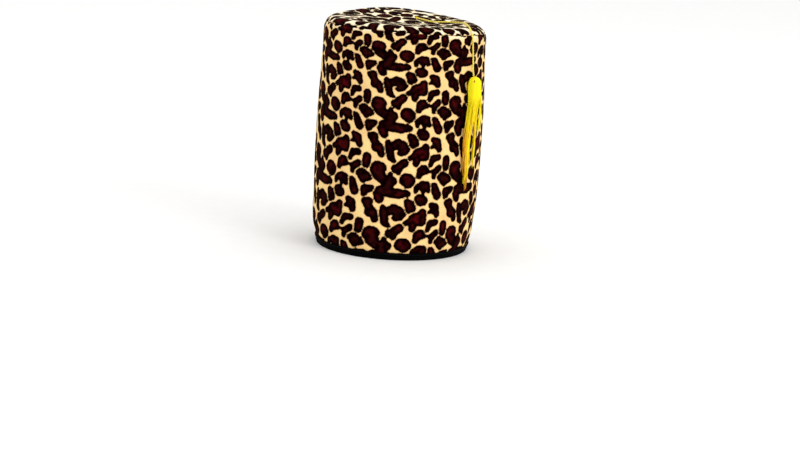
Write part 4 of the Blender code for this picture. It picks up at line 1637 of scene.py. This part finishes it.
def lock_hearts():
    """The inner threads of each lock as one body: rings along its middle line that end in a point."""
    down = np.linspace(0, 1, HEART_STATIONS)[:, None]
    swell = np.interp(down, *zip(*HEART_SWELL))
    side = np.linspace(0, FULL_TURN, HEART_SIDES, endpoint=False)[None]
    rows = []
    for lock in lock_rows:
        height = LOCK_START + (lock["end_height"] - LOCK_START) * down
        across, out = lock_middle_line(lock, height)
        beside = across + lock["width"] / 2 * swell * np.cos(side)
        away_from = out + lock["depth"] / 2 * swell * np.sin(side)
        rows.append(on_wall(beside, height + 0 * side, np.maximum(away_from, FIT_GAP)))
    return np.array(rows)


def build_threads():
    """All threads as one mesh: rings round each line, thinner at the loose end, with their tones. The
    hearts of the locks follow them in the same mesh."""
    threads = deal_threads()
    across, height, out, down = thread_lines(threads)
    side = np.linspace(0, FULL_TURN, THREAD_SIDES, endpoint=False)[None, None]
    thick = THREAD_RADIUS * (1 - TIP_TAPER * smooth_step(down, TIP_START, 1.0))[..., None]
    points = on_wall(
        across[..., None] + thick * np.cos(side),
        height[..., None] + 0 * side,
        out[..., None] + thick * np.sin(side),
    )
    gold = np.array(LOCK_GOLD)
    # A thread's own share is painted shade: it darkens mostly the few threads that lie deepest in the
    # head.
    dealt = CLUMP_TONE * threads["tone"] + OWN_TONE_AND_SHADE * threads["own_tone_and_shade"] ** 5
    golden = gold[threads["lock"], None] * smooth_step(down, *GOLD_ONSET)
    tone = np.clip(dealt[:, None] + golden, 0, 1)
    hearts = lock_hearts()
    heart_down = np.linspace(0, 1, HEART_STATIONS)[None, :, None] + 0 * hearts[..., 2]
    heart_golden = gold[:, None, None] * smooth_step(heart_down, *GOLD_ONSET)
    heart_tone = HEART_TONE + HEART_GOLD * heart_golden
    tube_faces = many_grids(THREADS, HEAD_STATIONS + SKIRT_STATIONS, THREAD_SIDES)
    heart_faces = many_grids(len(LOCKS), HEART_STATIONS, HEART_SIDES) + points[..., 0].size
    return mesh_piece(
        "tassel_threads",
        np.concatenate([points.reshape(-1, 3), hearts.reshape(-1, 3)]),
        [tube_faces, heart_faces],
        [rayon_thread()],
        values={"tone": np.append((tone[..., None] + 0 * side).ravel(), heart_tone.ravel())},
    )


# %% [markdown]
# Rayon is spun from smooth filaments, so it is the shiniest thing on the hat. Its colour is bright
# lemon, with painted shade golden where one thread shades another and dark olive in the gaps, and orange
# gold in the locks at the lower left. The tone of each thread picks its place between those colours.


# %% Thread finish
# The tones and their colours, from the floss's own lemon to the painted shade of a gap between threads,
# with orange gold on the way.
FLOSS_COLOURS = (
    (0.0, "#fff300"),
    (0.4, "#ffde00"),
    (0.75, "#eda011"),
    (0.9, "#b5780f"),
    (1.0, "#4a3c0a"),
)


def rayon_thread():
    """Bright rayon floss: saturated yellow and silky."""
    made, tree, shader = new_material("rayon_floss", Roughness=0.45, IOR=1.47, Specular_IOR_Level=0.3)
    tone = add(tree, "ShaderNodeAttribute", attribute_name="tone").outputs["Fac"]
    colours = add(tree, "ShaderNodeValToRGB", {0: tone})
    ramp = colours.color_ramp
    ramp.elements[0].color = linear(FLOSS_COLOURS[0][1])
    ramp.elements[1].color = linear(FLOSS_COLOURS[-1][1])
    for place, code in FLOSS_COLOURS[1:-1]:
        ramp.elements.new(place).color = linear(code)
    tree.links.new(colours.outputs[0], shader.inputs["Base Color"])
    return made


threads_piece = build_threads()
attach(threads_piece, "root")
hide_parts("tassel")

# %% [markdown]
# ## Inside the head
# A plain core fills the head just under the outermost threads, so that no light shows between them, and
# tapers away inside the skirt. It has the same floss finish, with painted shade: a little deeper in
# tone, deeper still low in the skirt, and dark where the eye shows it.

# %% Tassel core
CORE_SIDES = 48
CORE_ROWS = 30
CORE_LOWEST = 166.0 * MM
CORE_BELOW_TOP = 0.4 * MM
# The core's share of the head's half widths in the head and at its low end, and where it tapers.
CORE_SHARE, CORE_END_SHARE = 0.9, 0.15
CORE_TAPER = (CORE_LOWEST, 188.0 * MM)
# Between these heights its middle moves out from the wall to the middle of the head.
CORE_RAISED = (184.0 * MM, 194.0 * MM)
# Painted shade of the inner threads: the core's tone in the head and low in the skirt, and the heights
# between which it deepens.
CORE_PAINTED_SHADE, CORE_LOW_PAINTED_SHADE = 0.35, 0.5
CORE_SHADE_DEEPENS = (176.0 * MM, 190.0 * MM)


def build_core():
    """Oval rings inside the head that taper down into the skirt, closed at both ends."""
    height = np.linspace(CORE_LOWEST, bundle_height[-1] - CORE_BELOW_TOP, CORE_ROWS)[:, None]
    side = np.linspace(0, FULL_TURN, CORE_SIDES, endpoint=False)[None]
    half_across = smooth_between(height, bundle_height, bundle_across)
    half_out = smooth_between(height, bundle_height, bundle_out)
    raised = smooth_step(height, *CORE_RAISED)
    middle_out = FIT_GAP + half_out + (bundle_out.max() - half_out) * raised
    share = CORE_END_SHARE + (1 - CORE_END_SHARE) * smooth_step(height, *CORE_TAPER)
    share = CORE_SHARE * share
    rows = on_wall(
        share * half_across * np.cos(side),
        height + 0 * side,
        middle_out + share * half_out * np.sin(side),
    )
    # Painted shade: the core is dark as a hole where the eye shows it.
    beside = ((side - EYE_TURN + math.pi) % FULL_TURN - math.pi) * bundle_out.max()
    near = np.exp(-((beside / EYE_SPREAD) ** 2) - ((height - EYE_HEIGHT) / EYE_SPREAD) ** 2)
    deep = CORE_PAINTED_SHADE + (CORE_LOW_PAINTED_SHADE - CORE_PAINTED_SHADE) * (1 - smooth_step(height, *CORE_SHADE_DEEPENS))
    tone = (deep + (1 - deep) * np.minimum(1, 2 * near)).ravel()
    return mesh_piece(
        "tassel_core",
        with_ends(rows),
        [grid_faces(CORE_ROWS, CORE_SIDES), end_caps(CORE_ROWS, CORE_SIDES)],
        [threads_piece.data.materials[0]],
        values={"tone": np.append(tone, [CORE_LOW_PAINTED_SHADE, CORE_PAINTED_SHADE])},
    )


core = build_core()
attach(core, "root")

# %% [markdown]
# ## The cord's first end
# The cord needs to be held where it starts. The plain way is a tack: a few turns of matching thread
# over the cord and down into the cloth on both sides. Each turn is a half ring, bent over the cord.

# %% Cord tack
TACK_TURNS = 5
TACK_STATIONS = 12
TACK_SIDES = 6
TACK_PITCH = 0.5 * MM
TACK_RADIUS = 0.24 * MM
TACK_START = 1.2 * MM
TACK_CLEAR = 0.12 * MM
TACK_SLANT = 0.25 * MM
TACK_FEET = 0.12
TACK_TONE = 0.4


def build_tack():
    """Half rings over the cord: along the cord they lie a pitch apart, and their feet sink in."""
    start = np.argmin(np.abs(np.linspace(0, cord_length, cord_rows) - TACK_START))
    along = unit(cord_line[start + 1] - cord_line[start])
    over = np.array([0.0, 0.0, 1.0])
    across = unit(np.cross(along, over))
    number = np.arange(TACK_TURNS)[:, None, None]
    bend = np.linspace(-TACK_FEET, 1 + TACK_FEET, TACK_STATIONS)[None, :, None] * math.pi
    side = np.linspace(0, FULL_TURN, TACK_SIDES, endpoint=False)[None, None]
    ring = CORD_DIAMETER / 2 + TACK_CLEAR + TACK_RADIUS * np.cos(side)
    forward_by = number * TACK_PITCH + TACK_RADIUS * np.sin(side) + TACK_SLANT * np.cos(bend)
    points = (
        cord_line[start]
        + across * (ring * np.cos(bend))[..., None]
        + over * (ring * np.sin(bend))[..., None]
        + along * forward_by[..., None]
    )
    return mesh_piece(
        "cord_tack",
        points,
        [many_grids(TACK_TURNS, TACK_STATIONS, TACK_SIDES)],
        [threads_piece.data.materials[0]],
        values={"tone": np.full(points.shape[:-1], TACK_TONE)},
    )


tack = build_tack()
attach(tack, "root")

# %% [markdown]
# ## Floor and light
# The hat stands on white paper that fills the view, as in a shop's photograph. Big soft lights leave
# almost no shadow: one to the right and above gives the form, a wide one at the left opens the shade,
# and the white surroundings fill the rest.

# %% Floor and light
FLOOR_RINGS = (9.0, 3.0, 0.5)
FLOOR_SIDES = 64
PAPER_CLOUDS = 60.0
LIGHT_COLUMNS = ("name", "x", "y", "z", "size", "watts")
LIGHTS = (
    ("key_light", 2.9, -1.6, 1.8, 1.6, 34.0),
    ("fill_light", -2.4, -2.2, 1.2, 2.2, 1.0),
    ("top_light", 0.2, 0.6, 2.6, 1.6, 9.0),
)


def white_paper():
    """Matte white paper with barely visible clouds, 17 mm across."""
    made, tree, shader = new_material("white_paper", Roughness=0.95, IOR=1.5)
    place = add(tree, "ShaderNodeTexCoord").outputs["Object"]
    clouds = add(tree, "ShaderNodeTexNoise", {"Vector": place, "Scale": PAPER_CLOUDS, "Detail": 3.0})
    colour = add(tree, "ShaderNodeMix", {MIX_FACTOR: clouds.outputs[0]}, data_type="RGBA")
    colour.inputs[MIX_A].default_value = linear("#f2f2f1")
    colour.inputs[MIX_B].default_value = linear("#f7f7f6")
    tree.links.new(colour.outputs[MIX_COLOUR], shader.inputs["Base Color"])
    return made


def build_floor():
    """A large flat disc: rings of points closed by a fan at the centre."""
    turn = np.linspace(0, FULL_TURN, FLOOR_SIDES, endpoint=False)
    rings = polar(turn, np.array(FLOOR_RINGS)[:, None], 0.0)
    faces = grid_faces(len(FLOOR_RINGS), FLOOR_SIDES)
    side = np.arange(FLOOR_SIDES)
    centre = len(FLOOR_RINGS) * FLOOR_SIDES
    ring = centre - FLOOR_SIDES + side
    next_in_ring = centre - FLOOR_SIDES + (side + 1) % FLOOR_SIDES
    fan = np.stack([ring, next_in_ring, np.full(FLOOR_SIDES, centre)], axis=-1)
    points = np.concatenate([rings.reshape(-1, 3), [[0, 0, 0]]])
    return mesh_piece("paper_floor", points, [faces, fan], [white_paper()])


build_floor()
for row in named_rows(LIGHTS, LIGHT_COLUMNS):
    light = bpy.data.lights.new(row["name"], "AREA")
    light.size = row["size"]
    light.energy = row["watts"]
    lamp = bpy.data.objects.new(row["name"], light)
    lamp.location = (row["x"], row["y"], row["z"])
    lamp.rotation_euler = (HAT_CENTRE - lamp.location).to_track_quat("-Z", "Y").to_euler()
    bpy.context.scene.collection.objects.link(lamp)
world = bpy.data.worlds.new("white_studio")
world.use_nodes = True
surroundings = world.node_tree.nodes["Background"]
surroundings.inputs["Color"].default_value = (1.0, 1.0, 1.0, 1.0)
surroundings.inputs["Strength"].default_value = 1.0
bpy.context.scene.world = world
bpy.context.scene.view_settings.view_transform = "Standard"
print("lights:", [row[0] for row in LIGHTS])
